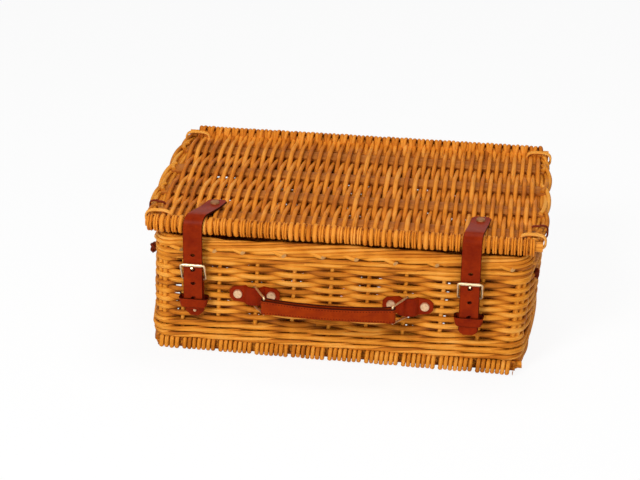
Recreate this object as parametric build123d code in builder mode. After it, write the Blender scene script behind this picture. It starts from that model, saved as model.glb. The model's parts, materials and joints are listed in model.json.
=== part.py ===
"""Wicker picnic hamper with a lift-up lid, two buckled leather straps and a leather carrying handle.

Millimetres. +Z is up and the front, with the handle, faces -Y. The origin lies on the floor under
the middle of the hamper's outer size. Left and right are as seen from the front.
"""
import os
from math import atan2, cos, floor, pi, radians, sin, sqrt

from build123d import *

os.makedirs("parts", exist_ok=True)

# Wicker body, from the floor up
base_height = 15.0
lower_wale_height = 22.0
randing_height = 70.0
upper_wale_height = 30.0
body_width = 384.0
body_depth = 250.0
body_end_bulge = 12.0
wall_lean = 3.3
wall_thickness = 11.0
wall_corner_radius = 18.0
wale_bulge = 3.5
base_edge_radius = 4.0
base_inset = 1.5

# Willow rods of the body
rod_diameter = 4.7
rod_relief = 1.1
rod_sides = 6
stake_diameter = 4.5
stake_pitch = 38.4
stake_offset = -8.6
end_stake_pitch = 40.0
corner_post_diameter = 6.4
base_stick_diameter = 8.0
base_sticks_count = 5
base_stick_overhang = 1.5
base_panel_thickness = 6.0
base_band_margin = 4.0
base_channel_inset = 20.0
base_slot_width = 2.6
base_slot_depth = 1.6

# Lid
lid_end_overhang = 8.0
lid_edge_overhang = 7.5
lid_end_bulge = 10.0
lid_rim_diameter = 19.0
lid_stick_diameter = 10.0
lid_stick_overhang = 1.5
lid_slab_thickness = 12.0
lid_rib_width = 14.4
lid_band_margin = 5.0
lid_channel_inset = 22.0
lid_slot_width = 4.2
lid_slot_margin = 4.0
end_wand_diameter = 7.0
end_wand_setback = 1.0
lath_width = 20.0
lath_thickness = 3.6
lath_first = 34.9
lath_last = 54.6
lath_count = 4
tie_rod = 2.4
tie_length = 28.0
tie_from_rim = 12.3

# Hinge: willow loops on the lid's rear stick and on a rod in the rear wall
hinge_inset = 85.0
hinge_loop_width = 18.0
hinge_loop_outer = 18.4
hinge_rail_diameter = 8.0
hinge_rail_drop = 18.0
hinge_rail_overlap = 40.0
hinge_rail_wall = 2.4

# Closure straps
lid_strap_inset = 63.0
wall_strap_inset = 50.5
hardware_offset = -10.0
strap_width = 20.0
strap_thickness = 2.2
strap_rivet_from_front = 47.3
strap_rivet_inset = 9.0
strap_bend_steps = 6
strap_clip = 3.0
strap_point = 6.0
strap_hole_diameter = 3.0
strap_hole_pitch = 16.0
left_tail_end = 56.0
right_tail_end = 49.0

# Buckles
buckle_wire = 2.4
buckle_inner_width = 22.0
buckle_corner = 2.1
heel_bar_height = 88.0
buckle_reach = 19.0
sleeve_diameter = 3.4
sleeve_length = 19.4
tongue_diameter = 2.0
tongue_bend_rise = 12.0
tongue_tip_rise = 17.8
tongue_overhang = 2.7
tongue_eye_wall = 1.3
tongue_eye_width = 2.6

# Chapes and keepers on the front wall
chape_thickness = 1.6
chape_end = 45.0
chape_fold = 12.0
chape_clip = 6.0
chape_rivet_head = 6.0
chape_rivet_shank = 2.4
chape_pin_head = 3.4
chape_pin_shank = 1.6
chape_pin_depth = 6.0
chape_pin_rise = 0.8
washer_thickness = 1.0
washer_diameter = 9.0
keeper_thickness = 1.3
keeper_bottom = 53.5
keeper_height = 18.5
keeper_side_play = 2.0
keeper_flare = 2.0
keeper_corner = 1.6

# Carrying handle
tab_spacing = 158.0
tab_length = 52.0
tab_height = 19.4
tab_end_height = 15.6
tab_thickness = 2.2
tab_clip = 4.0
tab_centre_height = 73.0
arch_width = 20.0
arch_depth = 8.0
handle_rivet_spacing = 34.6
rivet_head_diameter = 9.8
rivet_head_rise = 1.5
rivet_shank_diameter = 3.6
ring_wire = 2.3
ring_length = 26.0
ring_angle = 58.5
ring_corner = 1.5
ring_end_play = 0.5
handle_height = 15.4
handle_waist = 1.2
handle_ply = 2.1
handle_bow = 6.0

# Lid stays
stay_diameter = 2.2
stay_from_front = 46.8
stay_hole_height = 105.0
stay_loop_length = 19.0
stay_drop = 96.0
stay_run = 66.0
knot_diameter = 8.0
knot_length = 9.0
knot_tail_diameter = 1.6
knot_gap = 0.6
stay_turn = 2.2
stay_bend = 12.0

# Clearances
lid_gap = 0.3
slip_gap = 0.1
leather_gap = 0.35
fit_gap = 0.05

# Sizes that follow from the body's and the lid's
lid_width = body_width + 2 * lid_end_overhang
lid_depth = body_depth + 2 * lid_edge_overhang
lid_strap_spacing = lid_width - 2 * lid_strap_inset
wall_strap_spacing = body_width - 2 * wall_strap_inset
hinge_spacing = lid_width - 2 * hinge_inset
lath_pitch = (lid_depth - lath_first - lath_last) / (lath_count - 1)

# Heights and planes that follow from the sizes above
wale_bottom = base_height
randing_bottom = wale_bottom + lower_wale_height
randing_top = randing_bottom + randing_height
body_height = randing_top + upper_wale_height
lid_rim_radius = lid_rim_diameter / 2
lid_mid_height = body_height + lid_gap + lid_rim_radius
slab_top = lid_mid_height + lid_slab_thickness / 2
slab_bottom = lid_mid_height - lid_slab_thickness / 2
rim_offset = lid_depth / 2 - lid_rim_radius
lean_slope = wall_lean / (body_height - base_height)

# The handle stands out further at the front than the lid does at the back, so the wicker sits
# behind the origin by half of the difference
tab_back = -body_depth / 2 + 1.0
ring_pin_out = arch_depth - tab_thickness - ring_wire / 2 - leather_gap
ring_pin_y = tab_back - ring_pin_out
handle_pin_y = ring_pin_y - ring_length * sin(radians(ring_angle))
handle_front = handle_pin_y - handle_bow - handle_ply
front_reach = -handle_front
back_reach = lid_depth / 2
middle_y = (front_reach - back_reach) / 2


def shifted(y):
    """Turn a distance behind the wicker's middle into a place behind the origin."""
    return y + middle_y


def wall_inset(height):
    """How far the leaning wall stands inside its top outline at a height."""
    return lean_slope * (body_height - height)


def end_reach(half_width, half_depth, bulge, y):
    """Distance of a bulging end's outline from the middle, at a distance y behind the middle."""
    radius = (half_depth**2 + bulge**2) / (2 * bulge)
    return half_width + bulge - radius + sqrt(radius**2 - y**2)


def outline_wire(half_width, half_depth, bulge, corner, height=0.0):
    """Closed plan outline with straight front and back, bulging ends and round corners."""
    front = [(-half_width, -half_depth), (half_width, -half_depth)]
    back = [(-half_width, half_depth), (half_width, half_depth)]
    with BuildLine() as path:
        Line((0, -half_depth), front[1])
        ThreePointArc(front[1], (half_width + bulge, 0), back[1])
        Line(back[1], back[0])
        ThreePointArc(back[0], (-half_width - bulge, 0), front[0])
        Line(front[0], (0, -half_depth))
    outline = path.wires()[0]
    sharp = [v for v in outline.vertices() if abs(v.X) > half_width - 0.01]
    return outline.fillet_2d(corner, sharp).moved(Location((0, middle_y, height)))


def stake_points():
    """Plan places of the stakes along the front, back and both ends, vertical inside the wall."""
    inset = wall_lean / 2 + wall_thickness / 2
    row_y = body_depth / 2 - inset
    points = []
    for x in stake_x:
        points += [(x, shifted(-row_y)), (x, shifted(row_y))]
    each_way = floor((body_depth / 2 - wall_corner_radius) / end_stake_pitch)
    for i in range(-each_way, each_way + 1):
        y = i * end_stake_pitch
        x = end_reach(body_width / 2, body_depth / 2, body_end_bulge, y) - inset
        points += [(x, shifted(y)), (-x, shifted(y))]
    return points


def post_points():
    """Plan places of the four corner posts, in the middle of the wall's round corners."""
    to_post = (wall_corner_radius - wall_lean / 2 - wall_thickness / 2) / sqrt(2)
    x = body_width / 2 - wall_corner_radius + to_post
    y = body_depth / 2 - wall_corner_radius + to_post
    return [(x, shifted(-y)), (x, shifted(y)), (-x, shifted(y)), (-x, shifted(-y))]


stakes_each_way = floor((body_width / 2 - wall_corner_radius - abs(stake_offset)) / stake_pitch)
stake_x = [stake_offset + i * stake_pitch for i in range(-stakes_each_way, stakes_each_way + 1)]
stakes_at = stake_points()
posts_at = post_points()
stay_y = -lid_depth / 2 + stay_from_front
stay_wall_reach = end_reach(body_width / 2, body_depth / 2, body_end_bulge, stay_y)
stay_wall_x = stay_wall_reach - wall_inset(stay_hole_height)
rail_y = body_depth / 2 - wall_thickness / 2
rail_height = lid_mid_height - hinge_rail_drop
rail_length = hinge_spacing + 2 * hinge_rail_overlap
hinge_x = [-hinge_spacing / 2, hinge_spacing / 2]
loop_foot_radius = hinge_rail_diameter / 2 + slip_gap + hinge_rail_wall
stake_top = rail_height - loop_foot_radius - leather_gap


def woven_band(bottom, top, swell=0.0):
    """A ring of horizontal rods, each a rounded rib on the outside of the leaning wall."""
    rows = round((top - bottom) / rod_diameter)
    pitch = (top - bottom) / rows

    def outer(height):
        bow = swell * sin(pi * (height - bottom) / (top - bottom))
        return shifted(-body_depth / 2 + wall_inset(height) - bow)

    with BuildSketch(Plane.YZ) as profile:
        with BuildLine():
            for row in range(rows):
                low = bottom + row * pitch
                high = low + pitch
                middle = (low + high) / 2
                ThreePointArc(
                    (outer(low) + rod_relief, low),
                    (outer(middle), middle),
                    (outer(high) + rod_relief, high),
                )
            inner_top = shifted(-body_depth / 2 + wall_inset(top)) + wall_thickness
            inner_bottom = shifted(-body_depth / 2 + wall_inset(bottom)) + wall_thickness
            Line((outer(top) + rod_relief, top), (inner_top, top))
            Line((inner_top, top), (inner_bottom, bottom))
            Line((inner_bottom, bottom), (outer(bottom) + rod_relief, bottom))
        make_face()
    path = outline_wire(body_width / 2, body_depth / 2, body_end_bulge, wall_corner_radius)
    sweep(profile.sketch, path=path)
    with BuildSketch(Plane.XY.offset(bottom)) as bores:
        with Locations(*stakes_at):
            RegularPolygon(stake_diameter / 2 + fit_gap, rod_sides)
        with Locations(*posts_at):
            RegularPolygon(corner_post_diameter / 2 + fit_gap, rod_sides)
    extrude(bores.sketch, amount=min(top, stake_top) - bottom, mode=Mode.SUBTRACT)


# Places of the straps, buckles and handle
rim_wrap_radius = lid_rim_radius + lid_gap + strap_thickness / 2
tail_y = -rim_offset - rim_wrap_radius
tail_front = tail_y - strap_thickness / 2
keeper_back = -body_depth / 2 + wall_inset(keeper_bottom + keeper_height) - leather_gap
chape_back = keeper_back - keeper_thickness - slip_gap
fold_radius = buckle_wire / 2 + slip_gap + chape_thickness
heel_y = chape_back - fold_radius
bar_y = tail_front - leather_gap - sleeve_diameter / 2
bar_height = heel_bar_height + buckle_reach
tongue_bend_y = tail_y + strap_thickness / 2 + leather_gap + tongue_diameter / 2
tongue_tip_y = bar_y - sleeve_diameter / 2 - tongue_overhang
tongue_slope = (tongue_tip_rise - tongue_bend_rise) / (tongue_bend_y - tongue_tip_y)
tongue_hole_height = heel_bar_height + tongue_bend_rise + tongue_slope * (tongue_bend_y - tail_y)
chape_rivet_height = heel_bar_height - chape_fold + chape_rivet_head / 2 + leather_gap
chape_pin_height = chape_end + chape_clip
sides = {"left": -1, "right": 1}
strap_x = {name: hardware_offset + side * wall_strap_spacing / 2 for name, side in sides.items()}
lid_strap_x = {name: side * lid_strap_spacing / 2 for name, side in sides.items()}
lid_rivet_y = -lid_depth / 2 + strap_rivet_from_front
tab_x = {name: hardware_offset + side * tab_spacing / 2 for name, side in sides.items()}
handle_rivets_x = [x + k * handle_rivet_spacing / 2 for x in tab_x.values() for k in (-1, 1)]


def front_wall_bores():
    """Holes for the rivets that hold the leather on the front wall."""
    with BuildSketch(Plane.XZ.offset(-middle_y)) as holes:
        with Locations(*[(x, tab_centre_height) for x in handle_rivets_x]):
            Circle(rivet_shank_diameter / 2 + fit_gap)
        with Locations(*[(x, chape_rivet_height) for x in strap_x.values()]):
            Circle(chape_rivet_shank / 2 + fit_gap)
        with Locations(*[(x, chape_pin_height) for x in strap_x.values()]):
            Circle(chape_pin_shank / 2 + fit_gap)
    extrude(holes.sketch, amount=body_depth, mode=Mode.SUBTRACT)


# Base: a flat woven panel on stout sticks whose sawn ends show at the sides
base_half_width = body_width / 2 - wall_lean - base_inset
base_half_depth = body_depth / 2 - wall_lean - base_inset
base_stick_reach = base_half_depth - base_edge_radius - base_stick_diameter / 2
base_stick_pitch = 2 * base_stick_reach / (base_sticks_count - 1)
stick_height = base_height / 2
base_stick_y = [(i - (base_sticks_count - 1) / 2) * base_stick_pitch for i in range(base_sticks_count)]
base_band = base_stick_diameter / 2 + base_band_margin
base_channels = [(y + base_band, y + base_stick_pitch - base_band) for y in base_stick_y[:-1]]


def channels(spans, middle, floor_thickness, full_thickness, reach):
    """Thin a woven panel from both faces between its cross members, with sloping sides."""
    depth = (full_thickness - floor_thickness) / 2
    with BuildSketch(Plane.YZ) as sections:
        for start, end in spans:
            for face in (-1, 1):
                with BuildLine():
                    Polyline(
                        (shifted(start), middle + face * full_thickness / 2),
                        (shifted(start + depth), middle + face * floor_thickness / 2),
                        (shifted(end - depth), middle + face * floor_thickness / 2),
                        (shifted(end), middle + face * full_thickness / 2),
                        close=True,
                    )
                make_face()
    extrude(sections.sketch, amount=reach, both=True, mode=Mode.SUBTRACT)


with BuildPart() as base_weave:
    with BuildSketch():
        base_corner = wall_corner_radius - wall_lean
        make_face(outline_wire(base_half_width, base_half_depth, body_end_bulge, base_corner).edges())
    extrude(amount=base_height)
    fillet(base_weave.faces().sort_by(Axis.Z)[0].edges(), base_edge_radius)
    channels(base_channels, base_height / 2, base_panel_thickness, base_height, base_half_width - base_channel_inset)
    with BuildSketch():
        with Locations(*[(x, shifted(side * base_half_depth)) for x in stake_x for side in (-1, 1)]):
            Rectangle(base_slot_width, 2 * base_slot_depth)
    extrude(amount=base_height, mode=Mode.SUBTRACT)
    with BuildSketch(Plane.YZ):
        with Locations(*[(shifted(y), stick_height) for y in base_stick_y]):
            Circle(base_stick_diameter / 2 + fit_gap)
    extrude(amount=body_width, both=True, mode=Mode.SUBTRACT)
base_weave.part.label = "base_weave"
export_step(base_weave.part, "parts/base_weave.step")

with BuildPart() as base_sticks:
    for y in base_stick_y:
        reach = end_reach(base_half_width, base_half_depth, body_end_bulge, y) + base_stick_overhang
        with BuildSketch(Plane.YZ):
            with Locations((shifted(y), stick_height)):
                Circle(base_stick_diameter / 2)
        extrude(amount=reach, both=True)
base_sticks.part.label = "base_sticks"
export_step(base_sticks.part, "parts/base_sticks.step")

# Walls: stakes and corner posts with three woven bands round them
with BuildPart() as stakes:
    with BuildSketch(Plane.XY.offset(base_height)):
        with Locations(*stakes_at):
            RegularPolygon(stake_diameter / 2, rod_sides)
    extrude(amount=stake_top - base_height)
stakes.part.label = "stakes"
export_step(stakes.part, "parts/stakes.step")

with BuildPart() as corner_posts:
    with BuildSketch(Plane.XY.offset(base_height)):
        with Locations(*posts_at):
            RegularPolygon(corner_post_diameter / 2, rod_sides)
    extrude(amount=stake_top - base_height)
corner_posts.part.label = "corner_posts"
export_step(corner_posts.part, "parts/corner_posts.step")

with BuildPart() as lower_wale:
    woven_band(wale_bottom, randing_bottom, wale_bulge)
lower_wale.part.label = "lower_wale"
export_step(lower_wale.part, "parts/lower_wale.step")

with BuildPart() as wall_randing:
    woven_band(randing_bottom, randing_top)
    with BuildSketch(Plane.YZ):
        with Locations((shifted(stay_y), stay_hole_height)):
            Circle(stay_diameter / 2 + slip_gap)
    extrude(amount=body_width, both=True, mode=Mode.SUBTRACT)
    front_wall_bores()
wall_randing.part.label = "wall_randing"
export_step(wall_randing.part, "parts/wall_randing.step")

with BuildPart() as upper_wale:
    woven_band(randing_top, body_height)
    with BuildSketch(Plane.YZ):
        with Locations((shifted(rail_y), rail_height)):
            Circle(hinge_rail_diameter / 2 + fit_gap)
    extrude(amount=rail_length / 2, both=True, mode=Mode.SUBTRACT)
    with BuildSketch(Plane.XY.offset(body_height)):
        with Locations(*[(x, shifted(body_depth / 2)) for x in hinge_x]):
            Rectangle(hinge_loop_width + 2 * leather_gap, 2 * (wall_thickness + 1))
    extrude(amount=stake_top - body_height, mode=Mode.SUBTRACT)
upper_wale.part.label = "upper_wale"
export_step(upper_wale.part, "parts/upper_wale.step")

with BuildPart() as hinge_rail:
    with BuildSketch(Plane.YZ):
        with Locations((shifted(rail_y), rail_height)):
            Circle(hinge_rail_diameter / 2)
    extrude(amount=rail_length / 2, both=True)
hinge_rail.part.label = "hinge_rail"
export_step(hinge_rail.part, "parts/hinge_rail.step")

# Each hinge loop is a willow binding: one eye round the lid's stick, one round the wall's rail
with BuildPart() as hinge_loops:
    for x in hinge_x:
        with BuildSketch(Plane.YZ.offset(x - hinge_loop_width / 2)):
            with Locations((shifted(rim_offset), lid_mid_height)):
                Circle(hinge_loop_outer / 2)
            with Locations((shifted(rail_y), rail_height)):
                Circle(loop_foot_radius)
            with Locations((shifted((rim_offset + rail_y) / 2), (lid_mid_height + rail_height) / 2)):
                Rectangle(hinge_rail_diameter, hinge_rail_drop)
            with Locations((shifted(rim_offset), lid_mid_height)):
                Circle(lid_stick_diameter / 2 + slip_gap, mode=Mode.SUBTRACT)
            with Locations((shifted(rail_y), rail_height)):
                Circle(hinge_rail_diameter / 2 + slip_gap, mode=Mode.SUBTRACT)
        extrude(amount=hinge_loop_width)
hinge_loops.part.label = "hinge_loops"
export_step(hinge_loops.part, "parts/hinge_loops.step")

# Lid: two wrapped rim sticks and four split laths with wands woven across them
slab_half_width = lid_width / 2 - end_wand_diameter
slab_half_depth = rim_offset
lath_y = [-rim_offset - lid_rim_radius + lath_first + i * lath_pitch for i in range(lath_count)]
lid_channel_reach = slab_half_width - lid_channel_inset
lath_seat = lath_thickness + 2 * fit_gap
lath_band = lath_width / 2 + lid_band_margin
lid_channels = [(y + lath_band, y + lath_pitch - lath_band) for y in lath_y[:-1]]
lid_channels.append((lath_y[-1] + lath_band, rim_offset))
lid_rib_pitch = 2 * lid_rib_width
ribs_each_way = round(lid_channel_reach / lid_rib_pitch)
tie_y = rim_offset - tie_from_rim
slab_end = end_reach(slab_half_width, slab_half_depth, lid_end_bulge, tie_y - 2 * tie_rod)
tie_inner_x = slab_end + end_wand_diameter + 2 * slip_gap + tie_rod - tie_length
stay_slab_end = end_reach(slab_half_width, slab_half_depth, lid_end_bulge, -stay_y - stay_diameter)
stay_loop_outer = stay_slab_end + end_wand_diameter + 2 * slip_gap + stay_diameter
stay_loop_inner = stay_loop_outer - stay_loop_length
stay_loop_height = lid_slab_thickness + 2 * (slip_gap + stay_diameter)
tie_height = lid_slab_thickness + 2 * (slip_gap + tie_rod)

with BuildPart() as lid_weave:
    with BuildSketch(Plane.XY.offset(slab_bottom)):
        make_face(outline_wire(slab_half_width, slab_half_depth, lid_end_bulge, lid_rim_radius).edges())
    extrude(amount=lid_slab_thickness)
    channels(lid_channels, lid_mid_height, lath_seat, lid_slab_thickness, lid_channel_reach)
    for face in (-1, 1):
        with BuildSketch(Plane.XY.offset(lid_mid_height)):
            for y in lath_y:
                with Locations((0, shifted(y))):
                    with GridLocations(lid_rib_pitch, 0, 2 * ribs_each_way - (face > 0), 1):
                        Rectangle(lid_rib_width, lath_width + 2 * fit_gap)
        extrude(amount=face * lid_slab_thickness, mode=Mode.SUBTRACT)
    with BuildSketch(Plane.XY.offset(slab_bottom)):
        for start, end in lid_channels:
            low = start + lid_slot_margin
            high = min(end, rim_offset - lid_rim_radius) - lid_slot_margin
            with Locations((0, shifted((low + high) / 2))):
                with GridLocations(lid_rib_pitch, 0, 2 * ribs_each_way, 1):
                    Rectangle(lid_slot_width, high - low)
    extrude(amount=lid_slab_thickness, mode=Mode.SUBTRACT)
    with BuildSketch(Plane.YZ):
        with Locations((shifted(-rim_offset), lid_mid_height), (shifted(rim_offset), lid_mid_height)):
            Circle(lid_rim_radius)
    extrude(amount=lid_width / 2, both=True)
    with BuildSketch(Plane.YZ):
        with Locations((shifted(-rim_offset), lid_mid_height), (shifted(rim_offset), lid_mid_height)):
            Circle(lid_stick_diameter / 2 + fit_gap)
        with Locations(*[(shifted(y), lid_mid_height) for y in lath_y]):
            Rectangle(lath_width + 2 * fit_gap, lath_seat)
    extrude(amount=lid_width, both=True, mode=Mode.SUBTRACT)
    with BuildSketch(Plane.XY.offset(lid_mid_height)):
        with Locations(*[(x, shifted(rim_offset)) for x in hinge_x]):
            Rectangle(hinge_loop_width + 2 * leather_gap, hinge_loop_outer + 2 * leather_gap)
    extrude(amount=lid_rim_diameter, both=True, mode=Mode.SUBTRACT)
    with BuildSketch(Plane.XY.offset(lid_mid_height)):
        with Locations(*[(x, shifted(lid_rivet_y)) for x in lid_strap_x.values()]):
            Circle(rivet_shank_diameter / 2 + fit_gap)
        for side in (-1, 1):
            for y in (-tie_y, tie_y):
                with Locations((side * (tie_inner_x + tie_rod / 2), shifted(y))):
                    Rectangle(tie_rod + 2 * slip_gap, 2 * tie_rod + 4 * slip_gap)
            with Locations((side * (stay_loop_inner + stay_diameter / 2), shifted(stay_y))):
                Rectangle(stay_diameter + 2 * slip_gap, stay_diameter + 2 * slip_gap)
    extrude(amount=lid_rim_diameter, both=True, mode=Mode.SUBTRACT)
lid_weave.part.label = "lid_weave"
export_step(lid_weave.part, "parts/lid_weave.step")

for name, side in (("lid_front_stick", -1), ("lid_back_stick", 1)):
    with BuildPart() as lid_stick:
        with BuildSketch(Plane.YZ):
            with Locations((shifted(side * rim_offset), lid_mid_height)):
                Circle(lid_stick_diameter / 2)
        extrude(amount=lid_width / 2 + lid_stick_overhang, both=True)
    lid_stick.part.label = name
    export_step(lid_stick.part, f"parts/{name}.step")

with BuildPart() as lid_laths:
    for y in lath_y:
        reach = end_reach(slab_half_width, slab_half_depth, lid_end_bulge, abs(y) + lath_width / 2)
        with BuildSketch(Plane.XY.offset(lid_mid_height)):
            with Locations((0, shifted(y))):
                Rectangle(2 * reach, lath_width)
        extrude(amount=lath_thickness / 2, both=True)
lid_laths.part.label = "lid_laths"
export_step(lid_laths.part, "parts/lid_laths.step")

with BuildPart() as lid_end_wands:
    wand_out = end_wand_diameter / 2 + slip_gap
    wand_end = rim_offset - lid_rim_radius - end_wand_setback
    for side in (-1, 1):
        end_x = end_reach(slab_half_width, slab_half_depth, lid_end_bulge, wand_end) + wand_out
        middle_x = slab_half_width + lid_end_bulge + wand_out
        with BuildLine(Plane.XY.offset(lid_mid_height)) as bow:
            ThreePointArc(
                (side * end_x, shifted(-wand_end)),
                (side * middle_x, middle_y),
                (side * end_x, shifted(wand_end)),
            )
        with BuildSketch(Plane(origin=bow.line @ 0, z_dir=bow.line % 0)):
            Circle(end_wand_diameter / 2)
        sweep(path=bow.line)
lid_end_wands.part.label = "lid_end_wands"
export_step(lid_end_wands.part, "parts/lid_end_wands.step")

# Corner ties: two turns of cane round the edge at each corner of the lid
with BuildPart() as corner_ties:
    for side in (-1, 1):
        for y in (-tie_y, tie_y):
            for turn in (-1, 1):
                middle = shifted(y + turn * (tie_rod / 2 + slip_gap))
                with BuildSketch(Plane.XZ.offset(-middle)) as turn_profile:
                    with Locations((side * (tie_inner_x + tie_length / 2), lid_mid_height)):
                        Rectangle(tie_length, tie_height)
                    chamfer(turn_profile.vertices(), tie_rod)
                    with Locations((side * (tie_inner_x + tie_length / 2), lid_mid_height)):
                        Rectangle(tie_length - 2 * tie_rod, tie_height - 2 * tie_rod, mode=Mode.SUBTRACT)
                extrude(amount=tie_rod / 2, both=True)
corner_ties.part.label = "corner_ties"
export_step(corner_ties.part, "parts/corner_ties.step")


# Closure straps: the upper half is riveted to the lid and bends over its front rim
def strap_route():
    """Centre points of a strap's upper half with the angle of its run, from flat to hanging down."""
    flat_height = slab_top + lid_gap + strap_thickness / 2
    start = (lid_rivet_y + strap_rivet_inset, flat_height, 0)
    lift = (lid_rivet_y - strap_rivet_inset - leather_gap, flat_height, 0)
    rise = atan2(lid_mid_height + rim_wrap_radius - flat_height, rim_offset + lift[0])
    hanging = pi / 2
    route = [start, lift]
    for i in range(strap_bend_steps + 1):
        turn = -rise / 2 + i * (hanging + rise / 2) / strap_bend_steps
        y = -rim_offset - rim_wrap_radius * sin(turn)
        route.append((y, lid_mid_height + rim_wrap_radius * cos(turn), turn))
    return route


for side_name, side in sides.items():
    with BuildPart() as lid_strap:
        route = strap_route()
        top_x = lid_strap_x[side_name]
        front_x = strap_x[side_name]
        slant = (front_x - top_x) / (lid_rivet_y - route[-1][0])
        for y, height, turn in route:
            x = top_x + slant * (lid_rivet_y - y)
            heading = (0, -cos(turn), -sin(turn))
            with BuildSketch(Plane(origin=(x, shifted(y), height), x_dir=(1, 0, 0), z_dir=heading)):
                Rectangle(strap_width, strap_thickness)
        loft(ruled=True)
        chamfer(lid_strap.edges().filter_by(Axis.Z).sort_by(Axis.Y)[-2:], strap_clip)
        with BuildSketch(Plane.XY.offset(slab_top)):
            with Locations((top_x, shifted(lid_rivet_y))):
                Circle(rivet_shank_diameter / 2 + fit_gap)
        extrude(amount=lid_rim_diameter, mode=Mode.SUBTRACT)
    lid_strap.part.label = f"{side_name}_lid_strap"
    export_step(lid_strap.part, f"parts/{side_name}_lid_strap.step")

# The lower half hangs through the buckle and the keeper and has the punched holes
tail_end = {"left": left_tail_end, "right": right_tail_end}
hole_heights = [tongue_hole_height + k * strap_hole_pitch for k in (1, -1, -2)]
for side_name in sides:
    with BuildPart() as strap_tail:
        x = strap_x[side_name]
        low = tail_end[side_name]
        shoulder = low + strap_point
        half = strap_width / 2
        with BuildSketch(Plane.XZ.offset(-shifted(tail_y))):
            with BuildLine():
                Polyline((x - half, shoulder), (x - half, lid_mid_height - leather_gap))
                Line((x - half, lid_mid_height - leather_gap), (x + half, lid_mid_height - leather_gap))
                Line((x + half, lid_mid_height - leather_gap), (x + half, shoulder))
                ThreePointArc((x + half, shoulder), (x, low), (x - half, shoulder))
            make_face()
            with Locations((x, tongue_hole_height)):
                SlotOverall(strap_hole_diameter * 1.6, strap_hole_diameter, rotation=90, mode=Mode.SUBTRACT)
            with Locations(*[(x, height) for height in hole_heights if height > shoulder]):
                Circle(strap_hole_diameter / 2, mode=Mode.SUBTRACT)
        extrude(amount=strap_thickness / 2, both=True)
    strap_tail.part.label = f"{side_name}_strap_tail"
    export_step(strap_tail.part, f"parts/{side_name}_strap_tail.step")


def rivet(plane, head, rise, shank, grip, washer=0.0):
    """A flat headed rivet on a plane at the leather's face, its washer at the grip's far end."""
    with BuildSketch(plane) as head_circle:
        Circle(head / 2)
    extrude(head_circle.sketch, amount=rise, taper=20)
    with BuildSketch(plane) as shank_circle:
        Circle(shank / 2)
    extrude(shank_circle.sketch, amount=-grip)
    if washer:
        with BuildSketch(plane.offset(-grip)) as washer_circle:
            Circle(washer / 2)
        extrude(washer_circle.sketch, amount=-washer_thickness)


with BuildPart() as lid_strap_rivets:
    for x in lid_strap_x.values():
        head_height = slab_top + lid_gap + strap_thickness
        head_plane = Plane(origin=(x, shifted(lid_rivet_y), head_height), x_dir=(1, 0, 0), z_dir=(0, 0, 1))
        rivet(
            head_plane,
            rivet_head_diameter,
            rivet_head_rise,
            rivet_shank_diameter,
            head_height - slab_bottom,
            washer_diameter,
        )
lid_strap_rivets.part.label = "lid_strap_rivets"
export_step(lid_strap_rivets.part, "parts/lid_strap_rivets.step")


def front_plane(x, y, height):
    """A plane on the hamper's front that looks out, towards -Y."""
    return Plane(origin=(x, shifted(y), height), x_dir=(1, 0, 0), z_dir=(0, -1, 0))


def wall_back(height):
    """Place of the front wall's inner face at a height."""
    return -body_depth / 2 + wall_inset(height) + wall_thickness


def bent_ring(plane, points, corner, wire):
    """A closed ring of round wire with bent corners."""
    with BuildLine(plane) as route:
        FilletPolyline(*points, radius=corner, close=True)
    with BuildSketch(Plane(origin=route.line @ 0, z_dir=route.line % 0)) as section:
        Circle(wire / 2)
    sweep(section.sketch, path=route.line)


# Buckles: a wire frame that swings on its heel bar, a sleeve on the top bar, and a bent tongue
frame_length = sqrt((heel_y - bar_y) ** 2 + buckle_reach**2)
frame_half = (buckle_inner_width + buckle_wire) / 2
for side_name in sides:
    x = strap_x[side_name]
    with BuildPart() as buckle_frame:
        frame_plane = Plane(
            origin=(x, shifted(heel_y), heel_bar_height), x_dir=(1, 0, 0), z_dir=(0, -buckle_reach, bar_y - heel_y)
        )
        frame_corners = [(-frame_half, 0), (frame_half, 0), (frame_half, frame_length), (-frame_half, frame_length)]
        bent_ring(frame_plane, frame_corners, buckle_corner, buckle_wire)
    buckle_frame.part.label = f"{side_name}_buckle_frame"
    export_step(buckle_frame.part, f"parts/{side_name}_buckle_frame.step")

    with BuildPart() as buckle_sleeve:
        with BuildSketch(Plane.YZ.offset(x)):
            with Locations((shifted(bar_y), bar_height)):
                Circle(sleeve_diameter / 2)
                Circle(buckle_wire / 2 + fit_gap, mode=Mode.SUBTRACT)
        extrude(amount=sleeve_length / 2, both=True)
    buckle_sleeve.part.label = f"{side_name}_buckle_sleeve"
    export_step(buckle_sleeve.part, f"parts/{side_name}_buckle_sleeve.step")

    with BuildPart() as tongue:
        eye_inner = buckle_wire / 2 + slip_gap
        with BuildSketch(Plane.YZ.offset(x)):
            with Locations((shifted(heel_y), heel_bar_height)):
                Circle(eye_inner + tongue_eye_wall)
        extrude(amount=tongue_eye_width / 2, both=True)
        with BuildLine(Plane.YZ.offset(x)) as tongue_route:
            FilletPolyline(
                (shifted(heel_y), heel_bar_height + eye_inner),
                (shifted(tongue_bend_y), heel_bar_height + tongue_bend_rise),
                (shifted(tongue_tip_y), heel_bar_height + tongue_tip_rise),
                radius=tongue_diameter,
            )
        with BuildSketch(Plane(origin=tongue_route.line @ 0, z_dir=tongue_route.line % 0)):
            Circle(tongue_diameter / 2)
        sweep(path=tongue_route.line)
        with BuildSketch(Plane.YZ.offset(x)):
            with Locations((shifted(heel_y), heel_bar_height)):
                Circle(eye_inner)
        extrude(amount=tongue_eye_width, both=True, mode=Mode.SUBTRACT)
    tongue.part.label = f"{side_name}_tongue"
    export_step(tongue.part, f"parts/{side_name}_tongue.step")

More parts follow.
